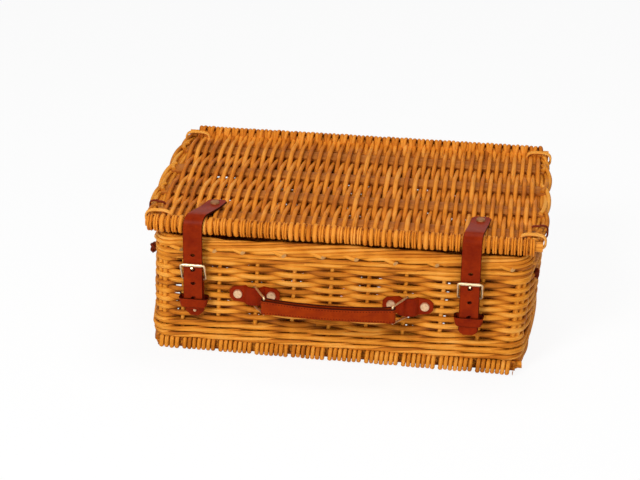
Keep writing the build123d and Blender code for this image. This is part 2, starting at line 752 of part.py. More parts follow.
# Chapes hold the buckles: folded round the heel bar and slotted there for the tongue
for side_name in sides:
    x = strap_x[side_name]
    with BuildPart() as chape:
        chape_front = chape_back - chape_thickness
        fold_low = heel_bar_height - chape_fold
        with BuildSketch(Plane.YZ.offset(x)):
            with BuildLine():
                Polyline(
                    (shifted(chape_back), chape_end),
                    (shifted(chape_back), heel_bar_height),
                    (shifted(heel_y), heel_bar_height),
                    (shifted(chape_front - chape_thickness), heel_bar_height),
                    (shifted(chape_front - chape_thickness), fold_low),
                    (shifted(chape_front), fold_low),
                    (shifted(chape_front), chape_end),
                    close=True,
                )
            make_face()
            with Locations((shifted(heel_y), heel_bar_height)):
                Circle(fold_radius)
                Circle(buckle_wire / 2 + slip_gap, mode=Mode.SUBTRACT)
        extrude(amount=strap_width / 2, both=True)
        chamfer(chape.edges().filter_by(Axis.Y).sort_by(Axis.Z)[:2], chape_clip)
        slot_depth = tongue_eye_wall + buckle_wire / 2 + leather_gap + slip_gap
        with BuildSketch(Plane.YZ.offset(x)):
            with Locations((shifted(heel_y), heel_bar_height)):
                Rectangle(3 * fold_radius, 2 * slot_depth)
        extrude(amount=tongue_eye_width / 2 + leather_gap, both=True, mode=Mode.SUBTRACT)
        with BuildSketch(Plane.XZ.offset(-middle_y)):
            with Locations((x, chape_rivet_height)):
                Circle(chape_rivet_shank / 2 + fit_gap)
            with Locations((x, chape_pin_height)):
                Circle(chape_pin_shank / 2 + fit_gap)
        extrude(amount=body_depth, mode=Mode.SUBTRACT)
    chape.part.label = f"{side_name}_chape"
    export_step(chape.part, f"parts/{side_name}_chape.step")

    with BuildPart() as keeper:
        keeper_front = tail_front - leather_gap - keeper_thickness
        keeper_middle = shifted((keeper_back + keeper_front) / 2)
        keeper_deep = keeper_back - keeper_front
        for wall, mode in ((keeper_thickness, Mode.ADD), (0.0, Mode.SUBTRACT)):
            for height, flare in ((keeper_bottom, 0.0), (keeper_bottom + keeper_height, keeper_flare)):
                wide = strap_width + 2 * (keeper_side_play + flare + wall)
                with BuildSketch(Plane.XY.offset(height)):
                    with Locations((x, keeper_middle)):
                        RectangleRounded(wide, keeper_deep - 2 * (keeper_thickness - wall), keeper_corner + wall)
            loft(ruled=True, mode=mode)
    keeper.part.label = f"{side_name}_keeper"
    export_step(keeper.part, f"parts/{side_name}_keeper.step")

with BuildPart() as chape_rivets:
    for x in strap_x.values():
        fold_face = chape_back - 2 * chape_thickness
        grip = wall_back(chape_rivet_height - chape_rivet_head / 2) - fold_face
        rivet(
            front_plane(x, fold_face, chape_rivet_height),
            chape_rivet_head,
            chape_pin_rise,
            chape_rivet_shank,
            grip,
            chape_rivet_head,
        )
        pin_face = chape_back - chape_thickness
        rivet(
            front_plane(x, pin_face, chape_pin_height),
            chape_pin_head,
            chape_pin_rise,
            chape_pin_shank,
            chape_thickness + chape_pin_depth,
        )
chape_rivets.part.label = "chape_rivets"
export_step(chape_rivets.part, "parts/chape_rivets.step")

# Carrying handle: two arched tabs, two wire rings and a stitched double strap on edge
for side_name in sides:
    x = tab_x[side_name]
    with BuildPart() as handle_tab:
        half = tab_length / 2
        inner = arch_width / 2 - tab_thickness / 2
        outer = arch_width / 2 + tab_thickness / 2
        lobe = tab_back - tab_thickness
        with BuildSketch(Plane.XY.offset(tab_centre_height)):
            with BuildLine():
                Line((x - half, shifted(tab_back)), (x - inner, shifted(tab_back)))
                ThreePointArc(
                    (x - inner, shifted(tab_back)),
                    (x, shifted(tab_back - arch_depth + tab_thickness)),
                    (x + inner, shifted(tab_back)),
                )
                Line((x + inner, shifted(tab_back)), (x + half, shifted(tab_back)))
                Line((x + half, shifted(tab_back)), (x + half, shifted(lobe)))
                Line((x + half, shifted(lobe)), (x + outer, shifted(lobe)))
                ThreePointArc(
                    (x + outer, shifted(lobe)), (x, shifted(tab_back - arch_depth)), (x - outer, shifted(lobe))
                )
                Line((x - outer, shifted(lobe)), (x - half, shifted(lobe)))
                Line((x - half, shifted(lobe)), (x - half, shifted(tab_back)))
            make_face()
        extrude(amount=tab_height / 2, both=True)
        with BuildSketch(Plane.XZ.offset(-shifted(tab_back))):
            with BuildLine():
                Polyline(
                    (x - inner, tab_centre_height + tab_height / 2),
                    (x + inner, tab_centre_height + tab_height / 2),
                    (x + half - tab_clip, tab_centre_height + tab_end_height / 2),
                    (x + half, tab_centre_height + tab_end_height / 2 - tab_clip),
                    (x + half, tab_centre_height - tab_end_height / 2 + tab_clip),
                    (x + half - tab_clip, tab_centre_height - tab_end_height / 2),
                    (x + inner, tab_centre_height - tab_height / 2),
                    (x - inner, tab_centre_height - tab_height / 2),
                    (x - half + tab_clip, tab_centre_height - tab_end_height / 2),
                    (x - half, tab_centre_height - tab_end_height / 2 + tab_clip),
                    (x - half, tab_centre_height + tab_end_height / 2 - tab_clip),
                    (x - half + tab_clip, tab_centre_height + tab_end_height / 2),
                    close=True,
                )
            make_face()
        extrude(amount=2 * arch_depth, both=True, mode=Mode.INTERSECT)
        with BuildSketch(Plane.XZ.offset(-middle_y)):
            with Locations(*[(x + k * handle_rivet_spacing / 2, tab_centre_height) for k in (-1, 1)]):
                Circle(rivet_shank_diameter / 2 + fit_gap)
        extrude(amount=body_depth, mode=Mode.SUBTRACT)
    handle_tab.part.label = f"{side_name}_handle_tab"
    export_step(handle_tab.part, f"parts/{side_name}_handle_tab.step")

with BuildPart() as handle_rivets:
    for x in handle_rivets_x:
        face = tab_back - tab_thickness
        rivet(
            front_plane(x, face, tab_centre_height),
            rivet_head_diameter,
            rivet_head_rise,
            rivet_shank_diameter,
            wall_back(tab_centre_height - rivet_head_diameter / 2) - face,
            rivet_head_diameter,
        )
handle_rivets.part.label = "handle_rivets"
export_step(handle_rivets.part, "parts/handle_rivets.step")

ring_tab_half = tab_height / 2 + ring_end_play + ring_wire / 2
ring_handle_half = handle_height / 2 + ring_end_play + ring_wire / 2
for side_name, side in sides.items():
    with BuildPart() as handle_ring:
        out = (-side * cos(radians(ring_angle)), -sin(radians(ring_angle)), 0)
        ring_plane = Plane(
            origin=(tab_x[side_name], shifted(ring_pin_y), tab_centre_height), x_dir=out, z_dir=(out[1], -out[0], 0)
        )
        ring_corners = [
            (0, -ring_tab_half),
            (ring_length, -ring_handle_half),
            (ring_length, ring_handle_half),
            (0, ring_tab_half),
        ]
        bent_ring(ring_plane, ring_corners, ring_corner, ring_wire)
    handle_ring.part.label = f"{side_name}_handle_ring"
    export_step(handle_ring.part, f"parts/{side_name}_handle_ring.step")

pin_in = ring_length * cos(radians(ring_angle))
handle_left = tab_x["left"] + pin_in
handle_right = tab_x["right"] - pin_in
handle_middle = (handle_left + handle_right) / 2
with BuildPart() as handle_strap:
    eye_radius = ring_wire / 2 + slip_gap
    with BuildSketch(Plane.XY.offset(tab_centre_height)):
        with BuildLine():
            ThreePointArc(
                (handle_left, shifted(handle_pin_y - handle_ply)),
                (handle_middle, shifted(handle_pin_y - handle_bow - handle_ply)),
                (handle_right, shifted(handle_pin_y - handle_ply)),
            )
            Line((handle_right, shifted(handle_pin_y - handle_ply)), (handle_right, shifted(handle_pin_y + handle_ply)))
            ThreePointArc(
                (handle_right, shifted(handle_pin_y + handle_ply)),
                (handle_middle, shifted(handle_pin_y - handle_bow + handle_ply)),
                (handle_left, shifted(handle_pin_y + handle_ply)),
            )
            Line((handle_left, shifted(handle_pin_y + handle_ply)), (handle_left, shifted(handle_pin_y - handle_ply)))
        make_face()
        with Locations((handle_left, shifted(handle_pin_y)), (handle_right, shifted(handle_pin_y))):
            Circle(eye_radius + handle_ply)
        with Locations((handle_left, shifted(handle_pin_y)), (handle_right, shifted(handle_pin_y))):
            Circle(eye_radius, mode=Mode.SUBTRACT)
    extrude(amount=handle_height / 2, both=True)
    with BuildSketch(Plane.XZ.offset(-shifted(handle_pin_y))):
        with BuildLine():
            reach = (handle_right - handle_left) / 2 + 2 * eye_radius + handle_ply
            high = tab_centre_height + handle_height / 2
            low = tab_centre_height - handle_height / 2
            ThreePointArc(
                (handle_middle - reach, high), (handle_middle, high - handle_waist), (handle_middle + reach, high)
            )
            Line((handle_middle + reach, high), (handle_middle + reach, low))
            ThreePointArc(
                (handle_middle + reach, low), (handle_middle, low + handle_waist), (handle_middle - reach, low)
            )
            Line((handle_middle - reach, low), (handle_middle - reach, high))
        make_face()
    extrude(amount=2 * (handle_bow + handle_ply), both=True, mode=Mode.INTERSECT)
handle_strap.part.label = "handle_strap"
export_step(handle_strap.part, "parts/handle_strap.step")

# Lid stays: a thong round each end wand, slack inside, through the end wall to a knot outside
stay_x = stay_wall_x - wall_thickness - wall_lean - stay_diameter
stay_run_height = slab_bottom - slip_gap - stay_diameter / 2
knot_face = stay_wall_x + knot_gap
for side_name, side in sides.items():
    with BuildPart() as stay:
        with BuildSketch(Plane.XZ.offset(-shifted(stay_y))) as loop_profile:
            with Locations((side * (stay_loop_inner + stay_loop_outer) / 2, lid_mid_height)):
                Rectangle(stay_loop_length, stay_loop_height)
            chamfer(loop_profile.vertices(), stay_diameter)
            with Locations((side * (stay_loop_inner + stay_loop_outer) / 2, lid_mid_height)):
                Rectangle(
                    stay_loop_length - 2 * stay_diameter, stay_loop_height - 2 * stay_diameter, mode=Mode.SUBTRACT
                )
        extrude(amount=stay_diameter / 2, both=True)
        with BuildLine() as thong:
            FilletPolyline(
                (side * (stay_loop_inner + stay_diameter), shifted(stay_y), stay_run_height),
                (side * stay_x, shifted(stay_y), stay_run_height),
                (side * stay_x, shifted(stay_y), stay_run_height - stay_drop),
                (side * stay_x, shifted(stay_y + stay_run), stay_run_height - stay_drop),
                (side * stay_x, shifted(stay_y + stay_run), stay_hole_height),
                (side * stay_x, shifted(stay_y), stay_hole_height),
                (side * knot_face, shifted(stay_y), stay_hole_height),
                radius=[stay_turn, stay_bend, stay_bend, stay_bend, stay_turn],
            )
        with BuildSketch(Plane(origin=thong.line @ 0, z_dir=thong.line % 0)):
            RegularPolygon(stay_diameter / 2, rod_sides)
        sweep(path=thong.line)
    stay.part.label = f"{side_name}_stay"
    export_step(stay.part, f"parts/{side_name}_stay.step")

with BuildPart() as stay_knots:
    for side in sides.values():
        with Locations((side * (knot_face + knot_length / 2), shifted(stay_y), stay_hole_height)):
            Sphere(knot_diameter / 2)
            Cylinder(knot_diameter / 3, knot_length, rotation=(0, 90, 0))
        with Locations((side * (knot_face + knot_length / 2), shifted(stay_y), stay_hole_height - knot_diameter / 2)):
            Cylinder(knot_tail_diameter / 2, knot_length)
stay_knots.part.label = "stay_knots"
export_step(stay_knots.part, "parts/stay_knots.step")
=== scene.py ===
"""Wicker picnic hamper: woven willow walls, base and lid, leather straps and handle, brass buckles."""
import json
import random
from itertools import product
from math import cos, pi, radians, sin

import bmesh
import bpy
import numpy as np
from mathutils import Matrix, Vector

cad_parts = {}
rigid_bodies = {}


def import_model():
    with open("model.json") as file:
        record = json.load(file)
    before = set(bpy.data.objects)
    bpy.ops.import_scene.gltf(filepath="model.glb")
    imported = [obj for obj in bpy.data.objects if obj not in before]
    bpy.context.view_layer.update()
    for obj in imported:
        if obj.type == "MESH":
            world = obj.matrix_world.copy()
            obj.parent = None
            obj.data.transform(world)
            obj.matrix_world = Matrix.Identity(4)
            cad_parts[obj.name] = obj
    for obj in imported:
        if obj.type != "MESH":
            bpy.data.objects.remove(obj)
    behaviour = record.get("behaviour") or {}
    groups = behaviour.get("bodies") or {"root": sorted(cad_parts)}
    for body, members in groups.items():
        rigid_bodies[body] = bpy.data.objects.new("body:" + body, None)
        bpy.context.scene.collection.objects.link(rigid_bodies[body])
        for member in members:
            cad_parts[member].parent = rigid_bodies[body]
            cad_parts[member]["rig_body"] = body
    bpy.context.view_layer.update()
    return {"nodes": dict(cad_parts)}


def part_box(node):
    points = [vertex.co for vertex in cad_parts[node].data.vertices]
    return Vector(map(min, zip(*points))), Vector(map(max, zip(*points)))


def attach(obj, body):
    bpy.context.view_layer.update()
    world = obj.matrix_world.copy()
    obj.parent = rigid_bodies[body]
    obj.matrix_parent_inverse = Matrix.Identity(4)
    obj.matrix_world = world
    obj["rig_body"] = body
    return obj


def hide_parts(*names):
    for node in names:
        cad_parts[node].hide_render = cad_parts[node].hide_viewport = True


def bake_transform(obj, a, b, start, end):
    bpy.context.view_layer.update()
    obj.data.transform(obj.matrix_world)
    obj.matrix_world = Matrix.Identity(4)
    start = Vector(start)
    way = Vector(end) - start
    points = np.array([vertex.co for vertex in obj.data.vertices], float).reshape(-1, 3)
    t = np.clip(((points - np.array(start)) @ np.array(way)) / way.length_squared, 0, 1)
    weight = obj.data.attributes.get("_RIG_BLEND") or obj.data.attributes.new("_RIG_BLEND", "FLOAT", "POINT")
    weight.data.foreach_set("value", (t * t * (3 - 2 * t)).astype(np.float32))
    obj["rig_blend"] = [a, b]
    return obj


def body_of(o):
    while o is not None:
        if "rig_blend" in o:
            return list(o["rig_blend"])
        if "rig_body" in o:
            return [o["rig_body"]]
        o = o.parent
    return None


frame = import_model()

for loaded in bpy.data.objects:
    loaded.select_set(False)
nodes = frame["nodes"]
mm = 0.001


# Sizes of the wickerwork, in metres
lid_low, lid_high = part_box("lid_weave")
base_low, base_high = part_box("base_weave")
MIDDLE = (lid_low[1] + lid_high[1]) / 2
RIM_RADIUS = (lid_high[2] - lid_low[2]) / 2
LID_MID = (lid_high[2] + lid_low[2]) / 2
RIM_Y = (lid_high[1] - lid_low[1]) / 2 - RIM_RADIUS
WALL_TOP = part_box("upper_wale")[1][2]
RANDING_FOOT, RANDING_TOP = (corner[2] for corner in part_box("wall_randing"))
BASE_TOP = base_high[2]
BASE_HALF_DEEP = (base_high[1] - base_low[1]) / 2
BASE_HALF_WIDE = 187 * mm

HALF_WIDE = 192 * mm
HALF_DEEP = 125 * mm
END_BULGE = 12 * mm
WALL_CORNER = 18 * mm
WALL_THICK = 11 * mm
MID_WALL = -WALL_THICK / 2
WALL_LEAN = 3.3 * mm
RACK = 6.0 * mm
END_SWELL, SWELL_FOOT, SWELL_TALL = 1.8 * mm, 10 * mm, 110 * mm
STAKE_PITCH = 38.4 * mm
STAKE_SHIFT = -8.6 * mm
END_STAKE_PITCH = 40 * mm
FRONT_STAKES = 9
END_STAKES = 5
ROD = 3.05 * mm
RANDING_ROWS = 15
LATHS = [(-97.6 + 58.5 * row) * mm for row in range(4)]
LATH_WIDE = 20 * mm
LATH_THICK = 3.6 * mm
SLAB_HALF = 193 * mm
LID_BULGE = 10 * mm
RIM_LEFT, RIM_RIGHT = -200.3 * mm, 191.5 * mm
STAY_Y = -85.7 * mm
CUT = 2.0
UP = (0, 0, 1)


def line_through(x, y, z):
    """Rows of points from x, the distance behind the wicker's middle, and z; a lone number serves every point."""
    return np.stack(np.broadcast_arrays(x, np.add(y, MIDDLE), z), axis=1)


def squared(wave, power):
    """A sine or cosine made flatter at its tops, which turns a round loop into a rounded box."""
    return np.sign(wave) * np.abs(wave) ** power


def new_object(name, data):
    """A piece or helper in the scene that shows its data."""
    made = bpy.data.objects.new(name, data)
    bpy.context.collection.objects.link(made)
    return made


def round_stick(side, angle):
    """Outward directions for a turn round a stick that runs left to right."""
    return np.stack([np.zeros_like(angle), side * np.cos(angle), np.sin(angle)], axis=1)


def rack(height):
    """How far the old hamper has slumped to the left at a height: nothing at the top, most at the floor."""
    return -RACK * (1 - np.clip(height / WALL_TOP, 0, 1))


# Rods: every willow rod is a bent tube that knows its tone, painted shade included, and the length run off along it
class Rods:
    """Bent rods gathered in one mesh."""

    def __init__(self, name, seed):
        self.name = name
        self.chance = random.Random(seed)
        self.points, self.faces, self.tones, self.skins = [], [], [], []
        self.count = 0

    def add(self, line, outward, wide, thick=None, sides=8, tone=None, cut=0.0, hidden=None):
        """One rod along a line of points, with painted shade along its two edges where other rods meet it.
        Outward is where its flatter side faces, cut slants a pale sawn end, and the last argument says how far
        each point lies behind its neighbours, which sets how much painted shade it gets."""
        line = np.asarray(line, float)
        wide = np.broadcast_to(wide, len(line))[:, None, None]
        thick = wide if thick is None else np.broadcast_to(thick, len(line))[:, None, None]
        ahead = np.gradient(line, axis=0)
        ahead /= np.linalg.norm(ahead, axis=1)[:, None]
        across = np.cross(ahead, outward)
        across /= np.linalg.norm(across, axis=1)[:, None]
        out = np.cross(across, ahead)
        turn = np.linspace(0, 2 * pi, sides, endpoint=False)
        ring = line[:, None] + across[:, None] * np.cos(turn)[None, :, None] * wide
        ring += out[:, None] * np.sin(turn)[None, :, None] * thick
        ring[-1] -= ahead[-1] * cut * np.sin(turn)[:, None] * float(thick[-1, 0, 0])
        ring = np.concatenate([ring, ring[:1], ring[-1:]])
        rows = np.arange(len(line) - 1)[:, None] * sides
        side = np.arange(sides)[None, :]
        after = (side + 1) % sides
        quads = np.stack([rows + side, rows + sides + side, rows + sides + after, rows + after], axis=2)
        self.faces += (quads.reshape(-1, 4) + self.count).tolist()
        first_cap = self.count + len(line) * sides
        self.faces.append([first_cap + n for n in range(sides)])
        self.faces.append([first_cap + sides + n for n in reversed(range(sides))])
        tone = self.chance.random() if tone is None else tone
        # Painted shade along each rod's two edges, where it meets the rods beside it.
        tones = np.full((len(line) + 2, sides), tone) - 0.55 * np.abs(np.cos(turn)) ** 5
        # Painted shade: points behind their neighbours darken on their outer face, the others on their inner side.
        if hidden is not None:
            hidden = np.concatenate([hidden, hidden[:1], hidden[-1:]])[:, None]
            front, inner_side_shade = np.clip(np.sin(turn) + 0.4, 0, 1), np.clip(-np.sin(turn), 0, 1) * 0.6
            tones -= 1.1 * (hidden * front + (1 - hidden) * inner_side_shade)
        if cut:
            tones[-1] = CUT
        run = np.concatenate([[0], np.cumsum(np.linalg.norm(np.diff(line, axis=0), axis=1))])
        run = np.concatenate([run, run[:1], run[-1:]]) * 14 + self.chance.random() * 40
        skin = np.stack(np.broadcast_arrays(run[:, None], np.cos(turn), np.sin(turn)), axis=2)
        self.points.append(ring.reshape(-1, 3))
        self.tones.append(tones.ravel())
        self.skins.append(skin.reshape(-1, 3))
        self.count += ring.shape[0] * sides

    def piece(self, body, finish, slot, *stands_for):
        """The mesh of all the rods, riding on its body."""
        mesh = bpy.data.meshes.new(self.name)
        mesh.from_pydata(np.concatenate(self.points), [], self.faces)
        tone = mesh.attributes.new("tone", "FLOAT", "POINT")
        tone.data.foreach_set("value", np.concatenate(self.tones).astype(np.float32))
        skin = mesh.attributes.new("skin", "FLOAT_VECTOR", "POINT")
        skin.data.foreach_set("vector", np.concatenate(self.skins).astype(np.float32).ravel())
        mesh.polygons.foreach_set("use_smooth", [len(face) == 4 for face in self.faces])
        return settle(new_object(self.name, mesh), body, finish, slot, *stands_for)


def settle(made, body, finish, slot, *stands_for):
    """Give a finished piece its material, its body and the nodes it stands for."""
    made.data.materials.clear()
    made.data.materials.append(finish)
    if body:
        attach(made, body)
    if stands_for:
        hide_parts(*stands_for)
    return made


def waver(length, chance, size, reach=0.12):
    """A slow random wander along a rod, at most about size either way."""
    phase = [chance.uniform(0, 2 * pi) for _ in range(3)]
    stretch = [chance.uniform(0.7, 1.4) for _ in range(3)]
    waves = [np.sin(length / reach * f * g + p) for f, g, p in zip((1.7, 4.1, 9.0), stretch, phase)]
    return size * (0.55 * waves[0] + 0.3 * waves[1] + 0.15 * waves[2])


# Materials
def join(socket, given):
    """Link a changing value to a socket, or set a plain one there."""
    if isinstance(given, Value):
        socket.id_data.links.new(given.socket, socket)
    else:
        socket.default_value = given


class Value:
    """A number that changes over a surface; arithmetic on it adds Math nodes."""

    def __init__(self, socket):
        self.socket = socket

    def math(self, operation, *inputs):
        node = self.socket.id_data.nodes.new("ShaderNodeMath")
        node.operation = operation
        for socket, given in zip(node.inputs, inputs):
            join(socket, given)
        return Value(node.outputs[0])

    def __add__(self, other):
        return self.math("ADD", self, other)

    __radd__ = __add__

    def __sub__(self, other):
        return self.math("SUBTRACT", self, other)

    def __rsub__(self, other):
        return self.math("SUBTRACT", other, self)

    def __mul__(self, other):
        return self.math("MULTIPLY", self, other)

    __rmul__ = __mul__

    def __gt__(self, other):
        return self.math("GREATER_THAN", self, other)


class Finish:
    """A material and the few ways its nodes are made."""

    def __init__(self, name):
        self.material = bpy.data.materials.new(name)
        self.material.use_nodes = True
        self.tree = self.material.node_tree
        self.shader = self.tree.nodes["Principled BSDF"]

    def node(self, kind, settings=None, out=0, **sockets):
        """One node: its settings first, then its sockets by name, with underscores for spaces."""
        made = self.tree.nodes.new("ShaderNode" + kind)
        for name, given in (settings or {}).items():
            if name == "stops":
                ramp = made.color_ramp
                while len(ramp.elements) < len(given):
                    ramp.elements.new(0.5)
                for stop, (place, colour) in zip(ramp.elements, given):
                    stop.position = place
                    stop.color = (*colour, 1)
            else:
                setattr(made, name, given)
        for name, given in sockets.items():
            join(made.inputs[name.replace("_", " ")], given)
        return Value(made.outputs[out])

    def attribute(self, name, out="Fac"):
        return self.node("Attribute", {"attribute_name": name}, out)

    def place(self):
        return self.node("TexCoord", out="Object")

    def noise(self, vector, scale, detail=3.0, rough=0.5, along=None):
        """Noise, drawn out along the grain where along scales each direction."""
        if along:
            vector = self.node("Mapping", Vector=vector, Scale=along)
        return self.node("TexNoise", Vector=vector, Scale=scale, Detail=detail, Roughness=rough)

    def colours(self, value, *stops):
        return self.node("ValToRGB", {"stops": stops}, Fac=value)

    def mix(self, factor, one, other, blend="MIX"):
        made = self.tree.nodes.new("ShaderNodeMix")
        made.data_type = "RGBA"
        made.blend_type = blend
        join(made.inputs[0], factor)
        join(made.inputs[6], one if isinstance(one, Value) else (*one, 1))
        join(made.inputs[7], other if isinstance(other, Value) else (*other, 1))
        return Value(made.outputs[2])

    def bump(self, height, strength, distance):
        return self.node("Bump", Strength=strength, Distance=distance, Height=height)

    def surface(self, **sockets):
        for name, given in sockets.items():
            join(self.shader.inputs[name.replace("_", " ")], given)
        return self.material


BARK_BROWN = (0.20, 0.055, 0.008)
DEEP_GOLD = (0.47, 0.135, 0.008)
GOLD = (0.72, 0.262, 0.022)
PALE_GOLD = (0.82, 0.38, 0.070)
PALE_PITH = (0.86, 0.54, 0.24)
CUT_FACE = (0.66, 0.36, 0.12)
WILLOW_SHADES = (BARK_BROWN, DEEP_GOLD, GOLD, PALE_GOLD, PALE_PITH)


def willow_finish(name, lift=0.0, warm=1.0):
    """Peeled, steamed willow: tone by rod, painted shade from the rods' tone, long streaks, brown nicks,
    pale cut ends and a low shine.
    """
    f = Finish(name)
    shades = [(red, green * warm, blue * warm**2) for red, green, blue in WILLOW_SHADES]
    skin = f.attribute("skin", "Vector")
    tone = f.attribute("tone")
    streaks = f.noise(skin, 3.0, 4.0, 0.6, (0.25, 2.4, 2.4))
    patches = f.noise(f.place(), 45.0, 2.0)
    # The tone here holds each rod's own tone and its painted shade.
    warmth = tone * 0.34 + streaks * 0.8 + patches * 0.55 + (lift - 0.35)
    colour = f.colours(warmth, *zip((0.06, 0.3, 0.52, 0.76, 0.97), shades))
    nicks = f.noise(skin, 2.2, 2.0, 0.5, (1.1, 1.2, 1.2))
    nick = f.colours(nicks, (0.66, (0, 0, 0)), (0.74, (1, 1, 1)))
    colour = f.mix(nick, colour, BARK_BROWN)
    colour = f.mix(tone > CUT * 0.6, colour, CUT_FACE)
    fine = f.noise(skin, 4.0, 3.0, 0.6, (0.6, 7.0, 7.0))
    return f.surface(
        Base_Color=colour,
        Roughness=0.46 + fine * 0.2,
        Specular_IOR_Level=0.09,
        Normal=f.bump(streaks * 0.6 + fine * 0.4, 0.4, 0.0006),
    )


def stick_finish():
    """A straight willow stick whose grain runs from left to right, with paler sawn ends."""
    f = Finish("long_stick")
    streaks = f.noise(f.place(), 6.0, 4.0, 0.6, (3.0, 60.0, 60.0))
    colour = f.colours(streaks, (0.25, DEEP_GOLD), (0.5, GOLD), (0.75, PALE_GOLD))
    facing = f.node("SeparateXYZ", Vector=f.node("NewGeometry", out="True Normal"))
    sawn = facing.math("ABSOLUTE", facing) > 0.9
    rings = f.noise(f.place(), 900.0, 2.0)
    pith = f.colours(rings, (0.3, (0.62, 0.36, 0.15)), (0.7, (0.88, 0.66, 0.40)))
    return f.surface(
        Base_Color=f.mix(sawn, colour, pith),
        Roughness=0.5 + streaks * 0.1,
        Specular_IOR_Level=0.15,
        Normal=f.bump(streaks, 0.3, 0.0005),
    )


def lath_finish():
    """Split willow laths, flat side up: brown-tan with long open grain."""
    f = Finish("split_lath")
    grain = f.noise(f.place(), 5.0, 5.0, 0.62, (2.5, 90.0, 60.0))
    patches = f.noise(f.place(), 2.0, 2.0, 0.5, (8.0, 30.0, 30.0))
    colour = f.colours(
        grain * 0.75 + patches * 0.4 - 0.08,
        (0.25, (0.17, 0.042, 0.006)),
        (0.42, (0.36, 0.105, 0.013)),
        (0.6, (0.50, 0.165, 0.024)),
        (0.85, (0.62, 0.25, 0.05)),
    )
    return f.surface(
        Base_Color=colour,
        Roughness=0.5 + grain * 0.15,
        Specular_IOR_Level=0.06,
        Normal=f.bump(grain, 0.4, 0.0006),
    )


def leather_finish(name, light, deep, gloss, edged=False, stitched=False):
    """Chestnut leather with pores, creases, worn patches, darker cut edges and, where sewn, a row of stitches."""
    f = Finish(name)
    cloud = f.noise(f.place(), 70.0, 3.0, 0.6)
    pores = f.node("TexVoronoi", {"feature": "F1"}, Vector=f.place(), Scale=1500.0)
    crease = f.noise(f.place(), 260.0, 4.0, 0.65, (1.0, 1.0, 2.6))
    colour = f.colours(cloud * 0.75 + crease * 0.3 - 0.03, (0.3, deep), (0.7, light))
    height = pores * 0.35 + crease * 0.65
    if edged:
        margin = f.attribute("margin")
        edge = f.colours(margin + crease * 0.4, (0.4, (1, 1, 1)), (0.9, (0, 0, 0)))
        colour = f.mix(edge, colour, tuple(part * 0.2 for part in deep))
    if stitched:
        beat = margin.math("SINE", f.attribute("run") * 2.1) > 0.1
        seam = (margin > 1.55) * (2.35 - margin > 0.0) * beat
        colour = f.mix(seam, colour, tuple(part * 0.4 for part in deep))
        height = height - seam * 1.5
    return f.surface(
        Base_Color=colour,
        Roughness=gloss + crease * 0.16,
        Specular_IOR_Level=0.04,
        Normal=f.bump(height, 0.22, 0.0003),
    )


def metal_finish(name, colour, worn, roughness):
    """Brass wire or rivet metal with a brushed, slightly tarnished face."""
    f = Finish(name)
    tarnish = f.noise(f.place(), 420.0, 4.0, 0.6)
    scratches = f.noise(f.place(), 700.0, 2.0, 0.5, (1.0, 1.0, 7.0))
    return f.surface(
        Base_Color=f.mix(f.colours(tarnish, (0.45, (0, 0, 0)), (0.7, (1, 1, 1))), colour, worn),
        Metallic=1.0,
        Roughness=roughness + tarnish * 0.22,
        Normal=f.bump(scratches * 0.5 + tarnish * 0.5, 0.12, 0.0002),
    )


willow = willow_finish("willow")
pale_willow = willow_finish("pale_willow", -0.01, 0.90)
lid_willow = willow_finish("lid_willow", -0.01, 0.88)
cane = willow_finish("split_cane", 0.16)
lath_wood = lath_finish()
long_stick = stick_finish()
STRAP_BROWN, STRAP_DEEP = (0.275, 0.023, 0.001), (0.15, 0.008, 0.001)
HANDLE_BROWN, HANDLE_DEEP = (0.32, 0.035, 0.001), (0.20, 0.016, 0.001)
strap_leather = leather_finish("strap_leather", STRAP_BROWN, STRAP_DEEP, 0.30, edged=True)
loop_leather = leather_finish("loop_leather", STRAP_BROWN, STRAP_DEEP, 0.32)
handle_leather = leather_finish("handle_leather", HANDLE_BROWN, HANDLE_DEEP, 0.34, edged=True, stitched=True)
tab_leather = leather_finish("tab_leather", (0.275, 0.020, 0.001), (0.155, 0.008, 0.001), 0.34)
thong_leather = leather_finish("thong_leather", (0.20, 0.026, 0.006), (0.10, 0.012, 0.004), 0.45)
buckle_metal = metal_finish("buckle_metal", (0.76, 0.60, 0.37), (0.52, 0.36, 0.19), 0.26)
ring_metal = metal_finish("ring_metal", (0.70, 0.52, 0.29), (0.42, 0.27, 0.13), 0.3)
rivet_metal = metal_finish("rivet_metal", (0.74, 0.49, 0.29), (0.50, 0.31, 0.17), 0.42)
dull_rivet = metal_finish("dull_rivet", (0.27, 0.115, 0.045), (0.17, 0.065, 0.025), 0.5)


# The walls' plan outline, walked once and then looked up by the length run off from the front's middle
def walk_outline():
    """Lengths, points and outward directions along the outline, and its whole length."""
    quarter = pi / 2 * WALL_CORNER
    half_front = HALF_WIDE - WALL_CORNER
    side = 2 * (HALF_DEEP - WALL_CORNER)
    legs = [half_front, quarter, side, quarter, 2 * half_front, quarter, side, quarter, half_front]
    step = 0.5 * mm
    x, y, heading = 0.0, -HALF_DEEP, 0.0
    xs, ys = [], []
    for number, leg in enumerate(legs):
        steps = round(leg / step)
        for _ in range(steps):
            xs.append(x)
            ys.append(y)
            turn = pi / 2 / steps if number % 2 else 0.0
            heading += turn / 2
            x += leg / steps * cos(heading)
            y += leg / steps * sin(heading)
            heading += turn / 2
    xs, ys = np.array(xs), np.array(ys)
    xs = xs + np.sign(xs) * END_BULGE * (1 - (ys / HALF_DEEP) ** 2)
    ahead = np.stack([np.roll(xs, -1) - np.roll(xs, 1), np.roll(ys, -1) - np.roll(ys, 1)])
    ahead /= np.linalg.norm(ahead, axis=0)
    lengths = np.arange(len(xs)) * sum(legs) / len(xs)
    return lengths, xs, ys, ahead[1], -ahead[0], sum(legs)


LENGTHS, XS, YS, OUT_X, OUT_Y, ROUND = walk_outline()


